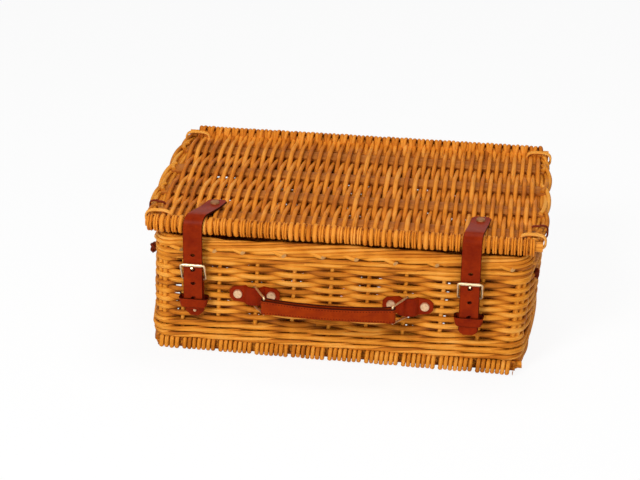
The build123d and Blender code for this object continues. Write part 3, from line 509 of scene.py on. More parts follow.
def wall_point(length, height, out):
    """Points on the wall at lengths round it, heights, and distances outside its leaning outline."""
    length = np.mod(length, ROUND)
    x, y, nx, ny = (np.interp(length, LENGTHS, column, period=ROUND) for column in (XS, YS, OUT_X, OUT_Y))
    out = out - WALL_LEAN * (WALL_TOP - height) / (WALL_TOP - BASE_TOP)
    out = out + END_SWELL * np.abs(nx) ** 3 * np.sin(pi * np.clip((height - SWELL_FOOT) / SWELL_TALL, 0, 1))
    line = line_through(x + nx * out + rack(height), y + ny * out, height)
    return line, np.stack([nx, ny, np.zeros_like(nx)], axis=1)


def length_at(x, y):
    """Length round the wall of the outline's nearest point."""
    return LENGTHS[np.argmin((XS - x) ** 2 + (YS - y) ** 2)]


CORNERS = [length_at(x, y) for x in (-HALF_WIDE, HALF_WIDE) for y in (-HALF_DEEP, HALF_DEEP)]


def upright_places():
    """Lengths round the wall of all the stakes and corner posts, in order."""
    found = list(CORNERS)
    for i in range(FRONT_STAKES):
        x = (i - (FRONT_STAKES - 1) / 2) * STAKE_PITCH + STAKE_SHIFT
        found += [length_at(x, -HALF_DEEP), length_at(x, HALF_DEEP)]
    for i in range(END_STAKES):
        y = (i - (END_STAKES - 1) / 2) * END_STAKE_PITCH
        found += [length_at(HALF_WIDE + END_BULGE, y), length_at(-HALF_WIDE - END_BULGE, y)]
    return np.sort(np.array(found))


UPRIGHTS = upright_places()
TURNS = len(UPRIGHTS)


def upright_count(length):
    """How many uprights a length round the wall has passed, with fractions between them."""
    laps = np.floor(length / ROUND)
    places = np.concatenate([[UPRIGHTS[-1] - ROUND], UPRIGHTS, [UPRIGHTS[0] + ROUND]])
    return np.interp(length - laps * ROUND, places, np.arange(-1, TURNS + 1)) + laps * TURNS


def length_of(count):
    """Length round the wall of an upright by its number, with fractions between."""
    laps = np.floor(np.asarray(count, float) / TURNS)
    places = np.concatenate([UPRIGHTS, [UPRIGHTS[0] + ROUND]])
    return np.interp(np.asarray(count, float) - laps * TURNS, np.arange(TURNS + 1), places) + laps * ROUND


def set_stakes():
    """The uprights: one stake at each place, and a pair of thicker posts at each corner."""
    rods = Rods("stake_rods", 10)
    posts = Rods("post_rods", 9)
    for place in UPRIGHTS:
        corner = place in CORNERS
        for step in (-3.6 * mm, 3.9 * mm) if corner else (0.0,):
            height = np.linspace(BASE_TOP - 11 * mm, RANDING_TOP + 14 * mm, 14)
            length = place + step + waver(height, rods.chance, 0.4 * mm)
            line, facing = wall_point(length, height, MID_WALL + (0.4 * mm if corner else 0.0))
            group, thin, thick, deep = (posts, 2.9, 3.2, 0.4) if corner else (rods, 2.1, 2.4, 0.3)
            group.add(line, facing, rods.chance.uniform(thin, thick) * mm, tone=rods.chance.uniform(deep, 0.9))
    rods.piece("basket", willow, "wands", "stakes")
    posts.piece("basket", willow, "wands", "corner_posts")


def weave_randing():
    """Rows of single rods that pass in front of one upright and behind the next."""
    rods = Rods("wall_randing_rods", 11)
    chance = rods.chance
    pitch = (RANDING_TOP - RANDING_FOOT) / RANDING_ROWS
    for row in range(RANDING_ROWS):
        start = chance.randrange(TURNS)
        joins = sorted({start + k * TURNS // 3 + chance.randrange(-2, 3) for k in range(3)})
        joins = [j + (j + row + 1) % 2 for j in joins]
        for first, last in zip(joins, joins[1:] + [joins[0] + TURNS]):
            length = np.arange(length_of(first - 0.35), length_of(last + 0.35), 4.6 * mm)
            phase = np.cos(pi * (upright_count(length) + row))
            butt = chance.uniform(0.93, 1.08)
            taper = np.linspace(butt, butt - chance.uniform(0.02, 0.12), len(length))
            out = MID_WALL + 2.75 * mm * phase * (1.12 - 0.12 * phase**2)
            height = RANDING_FOOT + (row + 0.5) * pitch + waver(length, chance, 0.55 * mm)
            line, facing = wall_point(length, height, out + waver(length, chance, 0.3 * mm))
            # Rods passing behind an upright get painted shade.
            rods.add(line, facing, ROD * taper, ROD * taper * 0.9, hidden=np.clip(0.35 - 0.75 * phase, 0, 1))
    rods.piece("basket", willow, "wands", "wall_randing")


def wale_row(rods, height, slope, front, radius):
    """A row of three rods, each passing in front of two uprights and behind the third, rising as it goes."""
    chance = rods.chance
    for strand in range(3):
        first = TURNS // 2 - (TURNS // 2) % 3 + strand
        length = np.arange(length_of(first), length_of(first + TURNS + 1), 4.8 * mm)
        stroke = np.mod(upright_count(length) - strand, 3)
        gone = np.minimum(stroke, 3 - stroke)
        behind = np.exp(-((gone / 0.44) ** 2))
        out = MID_WALL + front - (front + 3.2 * mm) * behind
        rise = slope * (stroke - 1.5) / 1.5 * np.clip(gone / 0.4, 0, 1)
        line, facing = wall_point(length, height + rise + waver(length, chance, 0.35 * mm), out)
        swing = 1 - 0.16 * behind
        # Strokes passing behind an upright get painted shade.
        rods.add(line, facing, radius * chance.uniform(0.94, 1.06) * swing, radius * 0.95 * swing, hidden=behind)


def shade_backing_rods(rods, heights, out):
    """Plain dark rods that run behind the weaving, on the inner side of the wall;
    their dark tone is painted shade from inside the basket, seen through the gaps.
    """
    for height, first in product(heights, (0, TURNS // 2)):
        length = np.arange(length_of(first - 0.2), length_of(first + TURNS // 2 + 0.2), 6 * mm)
        line, facing = wall_point(length, height + waver(length, rods.chance, 0.4 * mm), out)
        # The low tone is painted shade, seen through the gaps in the weave.
        rods.add(line, facing, 2.7 * mm, 2.0 * mm, sides=6, tone=0.2)


def weave_lower_wale():
    """Three rows of waling that swell out round the foot of the walls."""
    rods = Rods("lower_wale_rods", 12)
    pitch = (RANDING_FOOT - BASE_TOP) / 3
    for row, swell in enumerate((1.5, 2.4, 1.2)):
        height = BASE_TOP + (row + 0.5) * pitch
        wale_row(rods, height, 2.5 * mm, (2.9 + swell) * mm, 2.3 * mm)
    shade_backing_rods(rods, (BASE_TOP + rise * mm for rise in (3.5, 8.5, 13.5, 18.5)), -8.6 * mm)
    rods.piece("basket", willow, "wands", "lower_wale")


def weave_border():
    """Two rows of waling, then the stakes bent down into a border of long flowing strokes with cut tails."""
    rods = Rods("border_rods", 13)
    chance = rods.chance
    wale_row(rods, RANDING_TOP + 2.4 * mm, 1.7 * mm, 2.7 * mm, 2.2 * mm)
    wale_row(rods, RANDING_TOP + 7.6 * mm, 1.7 * mm, 2.9 * mm, 2.2 * mm)
    low = RANDING_TOP + 12.5 * mm
    high = WALL_TOP - 5.0 * mm
    for upright in range(TURNS):
        span = np.linspace(-0.45, 4.1 + chance.uniform(-0.15, 0.15), 44)
        share = np.linspace(0, 1, 44)
        climb = np.clip((share - 0.03) / 0.78, 0, 1)
        climb = 0.75 * climb + 0.25 * climb * climb * (3 - 2 * climb)
        length = length_of(upright + span)
        height = low + (high - low) * climb - 2.5 * mm * np.clip((share - 0.86) / 0.14, 0, 1) ** 2
        out = MID_WALL + 3.2 * mm - 6.4 * mm * np.clip((share - 0.3) / 0.7, 0, 1) ** 1.4
        out = out - 6.5 * mm * np.clip(1 - share / 0.09, 0, 1)
        line, facing = wall_point(length, height + waver(length, chance, 0.9 * mm), out)
        x = line[:, 0] / mm
        gap = 1.4 + 2.6 * np.exp(-(((x + 105) / 55) ** 2)) + 1.2 * np.exp(-(((x - 105) / 40) ** 2))
        line[:, 2] -= gap * mm * climb * np.clip(-facing[:, 1], 0, 1)
        thick = 2.35 * mm * (1.08 - 0.3 * share) * chance.uniform(0.9, 1.08)
        # Painted shade where the stroke starts inside the wall.
        rods.add(line, facing, thick, thick * 0.95, hidden=np.clip(1 - share / 0.1, 0, 1))
    for upright in range(TURNS):
        share = np.linspace(0, 1, 9)
        length = length_of(upright + chance.uniform(0.0, 0.3)) + chance.uniform(20, 27) * mm * share
        height = RANDING_TOP + 17.5 * mm - (5.6 + chance.uniform(-1.6, 1.6)) * mm * share
        out = MID_WALL + (0.8 + 4.2 * np.clip(share * 1.15, 0, 1)) * mm
        line, facing = wall_point(length, height, out)
        rods.add(line, facing, 2.4 * mm, 2.2 * mm, tone=chance.uniform(0.4, 0.9), cut=1.1)
    shade_backing_rods(rods, (RANDING_TOP + rise * mm for rise in (9, 13, 17)), -8.8 * mm)
    rods.piece("basket", willow, "wands", "upper_wale")


# Flat panels: wands from front to back, over one cross member and under the next
def panel_height(y, members, half_wide, lift, turn):
    """Rise of a wand at places y; it holds level over each member and dips between them."""
    marks, levels = [], []
    for number, member in enumerate(members):
        level = lift if (number + turn) % 2 else -lift
        marks += [member - half_wide, member + half_wide]
        levels += [level, level]
    return sum(np.interp(y + shift, marks, levels) for shift in (0.0, -3 * mm, 3 * mm)) / 3


def end_reach(half_wide, half_deep, bulge, y):
    """How far out a bulging end lies at places y."""
    radius = (half_deep**2 + bulge**2) / (2 * bulge)
    return half_wide + bulge - radius + np.sqrt(radius**2 - np.asarray(y) ** 2)


def weave_lid_panel():
    """Wands from the front stick to the back one, over one lath and under the next, and dark rods below them
    as painted shade under the weave.
    """
    rods = Rods("lid_wands", 21)
    chance = rods.chance
    half_count = 39
    lift = LATH_THICK / 2 + 2.2 * mm
    members = [-RIM_Y - 20 * mm] + LATHS + [RIM_Y + 20 * mm]
    y = np.arange(-RIM_Y - 2 * mm, RIM_Y + 2 * mm, 3.6 * mm)
    ends = np.clip((np.abs(y) - (RIM_Y - 14 * mm)) / (10 * mm), 0, 1)
    for number in range(-half_count, half_count + 1):
        share = number / half_count
        x = SLAB_HALF * (share * 1.085 - 0.085 * share**3) - 2.4 * mm * share
        rise = panel_height(y, members, LATH_WIDE / 2, lift, number % 2)
        rise = rise * (1 - ends) + 2.5 * mm * ends + waver(y, chance, 0.25 * mm)
        line = line_through(x + waver(y, chance, 0.75 * mm, 0.09), y, LID_MID + rise)
        rods.add(line, UP, (2.72 - 0.22 * share**2) * mm * chance.uniform(0.92, 1.06))
    # Dark rods under the wands: painted shade, seen through the gaps between them.
    edges = [(-1, step) for step in range(2)] + [(1, step) for step in range(5)]
    shade_rods = [(side * (RIM_Y - (9.5 + 4.6 * step) * mm), 1.6 * mm) for side, step in edges]
    for lath, ahead in ((1, 23.5 * mm), (2, 12.5 * mm)):
        shade_rods.append((LATHS[lath] - LATH_WIDE / 2 - ahead, 4.2 * mm))
    x = np.linspace(-SLAB_HALF + 2 * mm, SLAB_HALF - 2 * mm, 70)
    for place, drop in shade_rods:
        line = line_through(x, place + waver(x, chance, 0.4 * mm), LID_MID - drop)
        rods.add(line, UP, 2.5 * mm, 2.0 * mm, sides=6, tone=0.1)
    rods.piece("lid", lid_willow, "wands", "lid_weave")


def wrap_lid_rims():
    """Willow wrapped round the front and back sticks, turn beside turn."""
    rods = Rods("lid_rim_wraps", 22)
    chance = rods.chance
    angle = np.radians(np.linspace(-60, 282, 30))
    share = np.linspace(-0.5, 0.5, 30)

    def turn_round(x, side, wide, thick, high, deep, slope, tone):
        """One turn; those of the front stick hang a little low, and those of the back one stand a little high."""
        z = LID_MID + (0.4 if side > 0 else -0.9) * mm + high * np.sin(angle)
        line = line_through(x + slope * share, side * (RIM_Y - deep * np.cos(angle)), z)
        rods.add(line, round_stick(-side, angle), wide, thick, tone=tone)

    x = RIM_LEFT
    while x < RIM_RIGHT:
        pitch = chance.uniform(5.7, 6.8) * mm
        tone = chance.uniform(0.3, 0.95)
        wide = pitch / 2 - 0.7 * mm
        sag = chance.uniform(0, 0.6) * mm
        middle = x + pitch / 2
        lean = chance.uniform(-0.8, 0.8) * mm
        if chance.random() < 0.35:
            for half in (-wide / 2, wide / 2):
                turn_round(middle + half, -1, wide * 0.52, 1.9 * mm, 6.8 * mm + sag, 7.3 * mm, lean, tone)
        else:
            turn_round(middle, -1, wide, 2.6 * mm, 6.6 * mm + sag, 6.9 * mm, lean, tone)
        x += pitch
    x, way = -HALF_WIDE, -1
    while x < HALF_WIDE:
        pitch = chance.uniform(4.3, 5.2) * mm
        slope = chance.uniform(4.0, 6.0) * mm * way
        high = chance.uniform(7.5, 8.3) * mm
        tone = chance.uniform(0.1, 0.85)
        turn_round(x + pitch / 2, 1, pitch / 2 - 0.1 * mm, 2.0 * mm, high, 7.5 * mm, slope, tone)
        x += pitch
        way = -way
    rods.piece("lid", pale_willow, "wands")


def bow_lid_ends():
    """Scalloped loops that bind the lath ends at both ends of the lid, and the strands inside them."""
    rods = Rods("lid_end_loops", 23)
    chance = rods.chance
    stops = [-RIM_Y + 8 * mm] + LATHS + [RIM_Y - 8 * mm]
    share = np.linspace(0, 1, 22)
    arch = np.sin(pi * share) ** 0.55
    for side, widest in ((-1, 207.0 * mm), (1, 204.6 * mm)):
        for low, high in zip(stops, stops[1:]):
            for strand in range(2):
                y = low - 8 * mm + (high - low + 16 * mm) * share
                y = np.clip(y, -RIM_Y + 9 * mm, RIM_Y - 9 * mm)
                reach = widest - 7 * mm * (np.maximum(np.abs(y) - 45 * mm, 0) / (70 * mm)) ** 2
                x = reach - 7.5 * mm + (7.5 - strand * 3.0) * mm * arch + chance.uniform(-0.4, 0.2) * mm
                tilt = chance.uniform(1.5, 3.0) * mm * (1 if strand else -1)
                line = line_through(side * x, y, LID_MID + tilt * np.cos(pi * share))
                rods.add(line, UP, 2.5 * mm * chance.uniform(0.95, 1.1))
            y = np.linspace(low, high, 14)
            for inset, drop, wide, tone in ((5.5, 2.4, 2.4, 0.45), (1.0, 3.8, 2.8, 0.1), (9.6, 3.4, 2.6, 0.1)):
                x = end_reach(SLAB_HALF, RIM_Y, LID_BULGE, y) - inset * mm
                rods.add(line_through(side * x, y, LID_MID - drop * mm), UP, wide * mm, 2.0 * mm, tone=tone)
    rods.piece("lid", willow, "wands", "lid_end_wands")


def tie_lid_corners():
    """Two turns of thin cane round the edge at each corner."""
    rods = Rods("corner_cane", 24)
    angle = np.linspace(0, 2 * pi, 40)
    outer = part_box("corner_ties")[1][0] - 1.3 * mm
    half = 13 * mm
    x = outer - half + half * squared(np.cos(angle), 0.6)
    z = LID_MID + 7.4 * mm * squared(np.sin(angle), 0.75)
    for side, back, turn in product((-1, 1), repeat=3):
        y = back * (RIM_Y - 12.3 * mm) + turn * 1.35 * mm + np.sin(angle) * 0.6 * mm
        radius = 1.25 * mm * rods.chance.uniform(0.95, 1.05)
        rods.add(line_through(side * x, y, z), (0, 1, 0), radius, sides=7, tone=0.75)
    rods.piece("lid", cane, "cane", "corner_ties")


def weave_base():
    """Base panel with wrapped front and back edges, in groups between the stakes, and its cross sticks."""
    rods = Rods("base_wands", 31)
    cross_sticks = Rods("base_stick_rods", 32)
    chance = rods.chance
    sticks = [BASE_HALF_DEEP * k / 4 * 0.93 for k in (-4, -2, 0, 2, 4)]
    marks = [-BASE_HALF_WIDE] + [STAKE_SHIFT + k * STAKE_PITCH for k in range(-4, 6)] + [BASE_HALF_WIDE]
    angle = np.radians(np.linspace(-84, 84, 15))
    lean = np.linspace(-0.4, 0.4, 15) * mm
    number = 0
    for start, end in zip(marks, marks[1:]):
        start, end = start + 1.5 * mm, end - 1.5 * mm
        strands = max(1, round((end - start) / (5.3 * mm)))
        pitch = (end - start) / strands
        for strand in range(strands):
            x = start + (strand + 0.5) * pitch
            y = np.arange(-BASE_HALF_DEEP + 9 * mm, BASE_HALF_DEEP - 8 * mm, 5.5 * mm)
            z = BASE_TOP / 2 + panel_height(y, sticks, 2 * mm, 4.6 * mm, number % 2)
            line = line_through(x + waver(y, chance, 0.5 * mm) + rack(z), y, z)
            rods.add(line, UP, pitch * 0.57, 2.3 * mm, sides=6)
            for side in (-1, 1):
                tall = 6.1 * mm + chance.uniform(-0.5, 0.5) * mm * (angle < 0)
                skew = 3.0 * mm * x / HALF_WIDE if side < 0 else 0.0
                y = side * (BASE_HALF_DEEP - 6.0 * mm + 9.4 * mm * np.cos(angle) ** 0.3 + skew)
                z = np.maximum(BASE_TOP / 2 + 1.0 * mm + tall * squared(np.sin(angle), 0.6), 2.0 * mm)
                wide = pitch * chance.uniform(0.44, 0.47)
                line = line_through(x + lean + rack(z), y, z)
                rods.add(line, round_stick(side, angle), wide, 1.8 * mm, tone=chance.uniform(0.15, 0.8))
            number += 1
    x = np.linspace(-BASE_HALF_WIDE, BASE_HALF_WIDE, 60)
    for side, (back, height) in product((-1, 1), ((3.6, 11.5), (7.5, 13.0), (3.4, 5.0))):
        y = side * (BASE_HALF_DEEP - back * mm) + waver(x, chance, 0.3 * mm)
        rods.add(line_through(x + rack(height * mm), y, height * mm), UP, 2.3 * mm, sides=6, tone=0.0)
    for back in (-1.0, -0.5, 0.0, 0.5, 1.0):
        x = np.linspace(-186 * mm, 193.5 * mm, 40)
        y = back * (BASE_HALF_DEEP - 8 * mm) + waver(x, chance, 0.4 * mm)
        cross_sticks.add(line_through(x + rack(BASE_TOP / 2), y, BASE_TOP / 2), UP, 3.9 * mm, tone=0.5, cut=0.1)
    y = np.linspace(-BASE_HALF_DEEP + 9 * mm, BASE_HALF_DEEP - 9 * mm, 60)
    for side, strand in product((-1, 1), range(4)):
        wave = y / (15 * mm) + 2 * strand
        reach = end_reach(186.5 * mm, BASE_HALF_DEEP, END_BULGE, y) + 1.2 * mm * np.sin(wave)
        z = (3.6 + 3.0 * strand) * mm + 1.0 * mm * np.cos(wave)
        rods.add(line_through(side * reach + rack(z), y, z), UP, 2.4 * mm)
    cross_sticks.piece("basket", willow, "wands", "base_sticks")
    rods.piece("basket", willow, "wands", "base_weave")


def bind_hinges():
    """Willow skein bound round the lid's back stick and the rod in the back wall."""
    rods = Rods("hinge_binding", 41)
    low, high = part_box("hinge_loops")
    rail_low, rail_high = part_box("hinge_rail")
    rail_y, rail_z = (rail_low[1] + rail_high[1]) / 2 - MIDDLE, (rail_low[2] + rail_high[2]) / 2
    angle = np.linspace(0, 2 * pi, 34)
    across, along = np.cos(angle), np.sin(angle)
    y = np.where(along > 0, RIM_Y + 7.2 * mm * across, rail_y + 5.2 * mm * across)
    z = np.where(along > 0, LID_MID + 7.2 * mm * along, rail_z + 5.2 * mm * along)
    for centre, turn in product((low[0] + 9 * mm, high[0] - 9 * mm), range(5)):
        x = centre + (turn - 2) * 3.6 * mm + along * 0.6 * mm
        rods.add(line_through(x, y, z), (1, 0, 0), 1.3 * mm, 1.8 * mm)
    rods.piece("basket", pale_willow, "wands", "hinge_loops")


set_stakes()
weave_randing()
weave_lower_wale()
weave_border()
weave_lid_panel()
wrap_lid_rims()
bow_lid_ends()
tie_lid_corners()
weave_base()
bind_hinges()


def refinish(finish, *names):
    """Give a carried-over node its own procedural material."""
    for name in names:
        mesh = nodes[name].data
        mesh.materials.clear()
        mesh.materials.append(finish)


refinish(long_stick, "hinge_rail", "lid_front_stick", "lid_back_stick")
for side in ("left", "right"):
    refinish(buckle_metal, f"{side}_buckle_frame", f"{side}_buckle_sleeve", f"{side}_tongue")
refinish(ring_metal, "left_handle_ring", "right_handle_ring")
refinish(rivet_metal, "handle_rivets", "chape_rivets")
refinish(dull_rivet, "lid_strap_rivets")


def shape_up(made, modifier=None, smooth=None):
    """Apply a modifier to a piece, and smooth its faces up to an angle in degrees."""
    bpy.context.view_layer.objects.active = made
    made.select_set(True)
    if modifier:
        bpy.ops.object.modifier_apply(modifier=modifier.name)
    if smooth:
        bpy.ops.object.shade_smooth_by_angle(angle=radians(smooth))
    made.select_set(False)


def softened(name, edge, finish, slot):
    """A copy of a node with its edges rounded over, which then stands for the node."""
    source = nodes[name]
    made = new_object(name + "_soft", source.data.copy())
    shape = bmesh.new()
    shape.from_mesh(made.data)
    bmesh.ops.remove_doubles(shape, verts=shape.verts, dist=0.01 * mm)
    bmesh.ops.dissolve_limit(shape, angle_limit=radians(2), verts=shape.verts, edges=shape.edges)
    shape.to_mesh(made.data)
    shape.free()
    bevel = made.modifiers.new("edges", "BEVEL")
    bevel.width = edge
    bevel.segments = 2
    bevel.limit_method = "ANGLE"
    bevel.angle_limit = radians(40)
    shape_up(made, bevel, smooth=35)
    body = body_of(source)
    return settle(made, body if isinstance(body, str) else body[0], finish, slot, name)


softened("lid_laths", 0.7 * mm, lath_wood, "laths")
for side in ("left", "right"):
    softened(f"{side}_handle_tab", 0.45 * mm, tab_leather, "handle_leather")
    softened(f"{side}_chape", 0.3 * mm, loop_leather, "straps")


# Leather bands: an open or closed strip that knows how far each point is from its edge and along it
BAND = [(0.0, 0.45), (0.35, 1.0), (1.3, 1.0), (2.6, 1.0)]


def leather_band(name, rows, closed=False):
    """A band from rows of middle point, direction across, outward direction, half width and half thickness."""
    shape = bmesh.new()
    margin = shape.verts.layers.float.new("margin")
    length = shape.verts.layers.float.new("run")
    rings, run = [], 0.0
    for number, (point, across, out, half, thick) in enumerate(rows):
        if number:
            run += (point - rows[number - 1][0]).length / mm
        low = [(-half + inset * mm, -rise * thick, inset) for inset, rise in BAND]
        face = low + [(0.0, -thick, half / mm)] + [(-x, z, inset) for x, z, inset in reversed(low)]
        ring = []
        for x, z, inset in face + [(-x, -z, inset) for x, z, inset in face]:
            corner = shape.verts.new(point + across * x + out * z)
            corner[margin], corner[length] = inset, run
            ring.append(corner)
        rings.append(ring)
    for one, two in zip(rings, rings[1:] + rings[:1] if closed else rings[1:]):
        for k in range(len(one)):
            after = (k + 1) % len(one)
            shape.faces.new((one[k], one[after], two[after], two[k]))
    if not closed:
        shape.faces.new(list(reversed(rings[0])))
        shape.faces.new(rings[-1])
    bmesh.ops.recalc_face_normals(shape, faces=shape.faces)
    mesh = bpy.data.meshes.new(name)
    shape.to_mesh(mesh)
    shape.free()
    made = new_object(name, mesh)
    shape_up(made, smooth=40)
    return made


def strap_line(side):
    """Rows of a closure strap, from its end on the lid, over the front edge and down to its tip."""
    low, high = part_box(f"{side}_strap_tail")
    front_x = (low[0] + high[0]) / 2
    tail_y = (low[1] + high[1]) / 2
    end_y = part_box(f"{side}_lid_strap")[1][1]
    top_x = (-137 if side == "left" else 137) * mm
    wrap = MIDDLE - RIM_Y - tail_y
    flat = LID_MID + 7.3 * mm
    lift_y = end_y - 18.5 * mm
    edge_y = MIDDLE - RIM_Y
    points = [(end_y - step * mm, flat, 0.0) for step in (0, 3.5, 7, 12)] + [(lift_y, flat + 0.1 * mm, -0.02)]
    rise = (LID_MID + wrap - flat) / (lift_y - edge_y)
    for share in (0.25, 0.5, 0.75):
        points.append((lift_y + (edge_y - lift_y) * share, flat + (LID_MID + wrap - flat) * share, -rise))
    for angle in range(0, 91, 9):
        turn = radians(angle)
        points.append((edge_y - wrap * sin(turn), LID_MID + wrap * cos(turn), turn))
    z = LID_MID - 5 * mm
    while z > low[2] + 6.5 * mm:
        points.append((tail_y, z, pi / 2))
        z -= 5 * mm
    points += [(tail_y, low[2] + rise * mm, pi / 2) for rise in (4.5, 2.0, 0.0)]
    rivet_y = MIDDLE - 85.2 * mm
    slant = (front_x - top_x) / (rivet_y - tail_y)
    rows = []
    for number, (y, height, turn) in enumerate(points):
        half = {0: 7.0, len(points) - 2: 8.2, len(points) - 1: 5.0}.get(number, 10.0) * mm
        x = front_x if turn >= pi / 2 else front_x + slant * (tail_y - y)
        rows.append((Vector((x, y, height)), Vector((1, 0, 0)), Vector((0, -sin(turn), cos(turn))), half, 1.1 * mm))
    return rows, front_x, tail_y


def make_strap(side):
    """One length of leather with punched holes, bending where it leaves the lid."""
    rows, x, y = strap_line(side)
    made = leather_band(f"{side}_strap", rows)
    tongue_hole, hole_pitch = 101.4 * mm, 16 * mm
    drills = []
    for number in (1, 0, -1, -2):
        bpy.ops.mesh.primitive_cylinder_add(
            vertices=20, radius=1.5 * mm, depth=8 * mm, location=(x, y, tongue_hole + number * hole_pitch),
            rotation=(pi / 2, 0, 0),
        )
        drill = bpy.context.active_object
        if number == 0:
            drill.scale.y = 1.7
        drills.append(drill)
    bpy.ops.object.select_all(action="DESELECT")
    for drill in drills:
        drill.select_set(True)
    bpy.context.view_layer.objects.active = drills[0]
    bpy.ops.object.join()
    cutter = bpy.context.active_object
    cutter.select_set(False)
    holes = made.modifiers.new("holes", "BOOLEAN")
    holes.object = cutter
    holes.solver = "EXACT"
    shape_up(made, holes)
    bpy.data.objects.remove(cutter)
    settle(made, None, strap_leather, "straps", f"{side}_lid_strap", f"{side}_strap_tail")
    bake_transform(made, "lid", f"{side}_tail", start=(x, y, LID_MID + 2 * mm), end=(x, y, LID_MID - 16 * mm))


def make_keeper(side):
    """A short loop round strap and chape, wider at its mouth, with a rounded lower edge."""
    low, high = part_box(f"{side}_keeper")
    middle_x, middle_y, middle_z = (low[0] + high[0]) / 2, (low[1] + high[1]) / 2, 62.8 * mm
    half_thick, half_tall, corner = 0.7 * mm, 5.7 * mm, 3.0 * mm
    half_x, half_y = 14.2 * mm, (high[1] - low[1]) / 2 - 0.65 * mm
    rows = []
    for quarter, step in product(range(4), range(7)):
        turn = pi / 2 * (quarter + step / 6)
        centre_x = (half_x - corner) * (1 if quarter in (0, 3) else -1)
        centre_y = (half_y - corner) * (1 if quarter in (0, 1) else -1)
        out = Vector((cos(turn), sin(turn), 0))
        point = Vector((middle_x + centre_x, middle_y + centre_y, middle_z)) + out * corner
        rows.append((point, Vector(UP), out, half_tall, half_thick))
    made = leather_band(f"{side}_keeper_loop", rows, closed=True)
    for point in made.data.vertices:
        reach = (point.co.x - middle_x) / half_x
        lower = (middle_z + half_tall - point.co.z) / (2 * half_tall)
        point.co.x = middle_x + reach * half_x * (1.03 - 0.13 * lower)
        point.co.z += 2.4 * mm * lower * reach**2
    settle(made, "basket", strap_leather, "straps", f"{side}_keeper")


def make_handle():
    """Two plies in one loop of leather: round one ring, along the front, round the other and back behind."""
    low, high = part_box("handle_strap")
    middle_x, height = (low[0] + high[0]) / 2, (low[2] + high[2]) / 2
    half_ply, half_tall, eye = 1.05 * mm, 7.7 * mm, 2.25 * mm
    inset = eye + half_ply + 0.05 * mm
    pin_y = high[1] - inset
    reach = (high[0] - low[0]) / 2 - inset
    rows = []

    def ply(ends, bow, offset, way):
        """One ply from ring to ring, in the direction way, bowed out and drawn in to the rings at its ends."""
        for step in range(25):
            share = (step / 12 - 1) * way
            swell = 1 - share * share
            snug = min(1.0, (1 - abs(share)) / 0.16)
            y = pin_y - bow * swell - (offset + (ends - offset) * (1 - snug * snug * (3 - 2 * snug)))
            out = Vector((-2 * bow * share / reach, -1, 0)).normalized() * way
            point = Vector((middle_x + share * reach, y, height))
            rows.append((point, Vector(UP), out, half_tall - 1.2 * mm * swell, half_ply))

    def round_ring(way):
        for step in range(1, 8):
            turn = -pi / 2 + pi * step / 8
            out = Vector((cos(turn) * way, sin(turn) * way, 0))
            pin = Vector((middle_x + way * reach, pin_y, height))
            rows.append((pin + out * eye, Vector(UP), out, half_tall, half_ply))

    ply(eye, 5.8 * mm, 1.15 * mm, 1)
    round_ring(1)
    ply(-eye, 4.2 * mm, -0.9 * mm, -1)
    round_ring(-1)
    made = leather_band("handle_loop", rows, closed=True)
    for point in made.data.vertices:
        behind = (point.co.y - pin_y + 5.0 * mm * (1 - ((point.co.x - middle_x) / reach) ** 2)) / (2.2 * mm)
        point.co.z += (0.3 + 0.9 * max(-1.0, min(1.0, behind))) * mm
    settle(made, "handle", handle_leather, "handle_leather", "handle_strap")


for side in ("left", "right"):
    make_strap(side)
    make_keeper(side)
make_handle()


# Lid stays: dark thongs looped over the lid's ends, slack inside, knotted outside the end walls
def make_stay(side):
    """One thong with its loop round the lid's end, and its slack way down inside and out through the wall."""
    sign = -1 if side == "left" else 1
    rods = Rods(f"{side}_thong", 51 + sign)
    low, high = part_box(f"{side}_stay")
    loop = (high[0] if sign > 0 else -low[0]) - 2.6 * mm
    angle = np.linspace(0.5 * pi, 2.5 * pi, 30)
    x = loop - 8.4 * mm + 8.4 * mm * squared(np.cos(angle), 0.5)
    z = LID_MID + 6.6 * mm * squared(np.sin(angle), 0.5)
    line = line_through(sign * x, STAY_Y + np.linspace(-1, 1, 30) * 1.2 * mm, z)
    rods.add(line, (0, 1, 0), 1.0 * mm, 1.9 * mm, tone=0.5)
    y = MIDDLE + STAY_Y
    route = [
        (loop / mm - 17, 0, 141), (182, 1, 137), (181, 4, 126), (181, 9, 100), (180, 16, 68), (180, 34, 46),
        (180, 52, 58), (181, 50, 82), (181, 30, 98), (181, 8, 104), (183, 1, 105), (190, 0, 105), (198.5, 0, 105),
    ]
    curve = bpy.data.curves.new("route", "CURVE")
    curve.dimensions = "3D"
    spline = curve.splines.new("NURBS")
    spline.points.add(len(route) - 1)
    for point, (x, back, height) in zip(spline.points, route):
        point.co = (sign * x * mm, y + back * mm, height * mm, 1)
    spline.order_u = 3
    spline.use_endpoint_u = True
    spline.resolution_u = 8
    holder = new_object("route", curve)
    bpy.context.view_layer.update()
    points = np.array([v.co for v in bpy.data.meshes.new_from_object(holder).vertices])
    bpy.data.objects.remove(holder)
    rods.add(points, (0, 0.3, 1), 1.1 * mm, tone=0.5)
    made = rods.piece(None, thong_leather, "thong", f"{side}_stay")
    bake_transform(made, "basket", "lid", start=(0, y, 108 * mm), end=(0, y, 137 * mm))


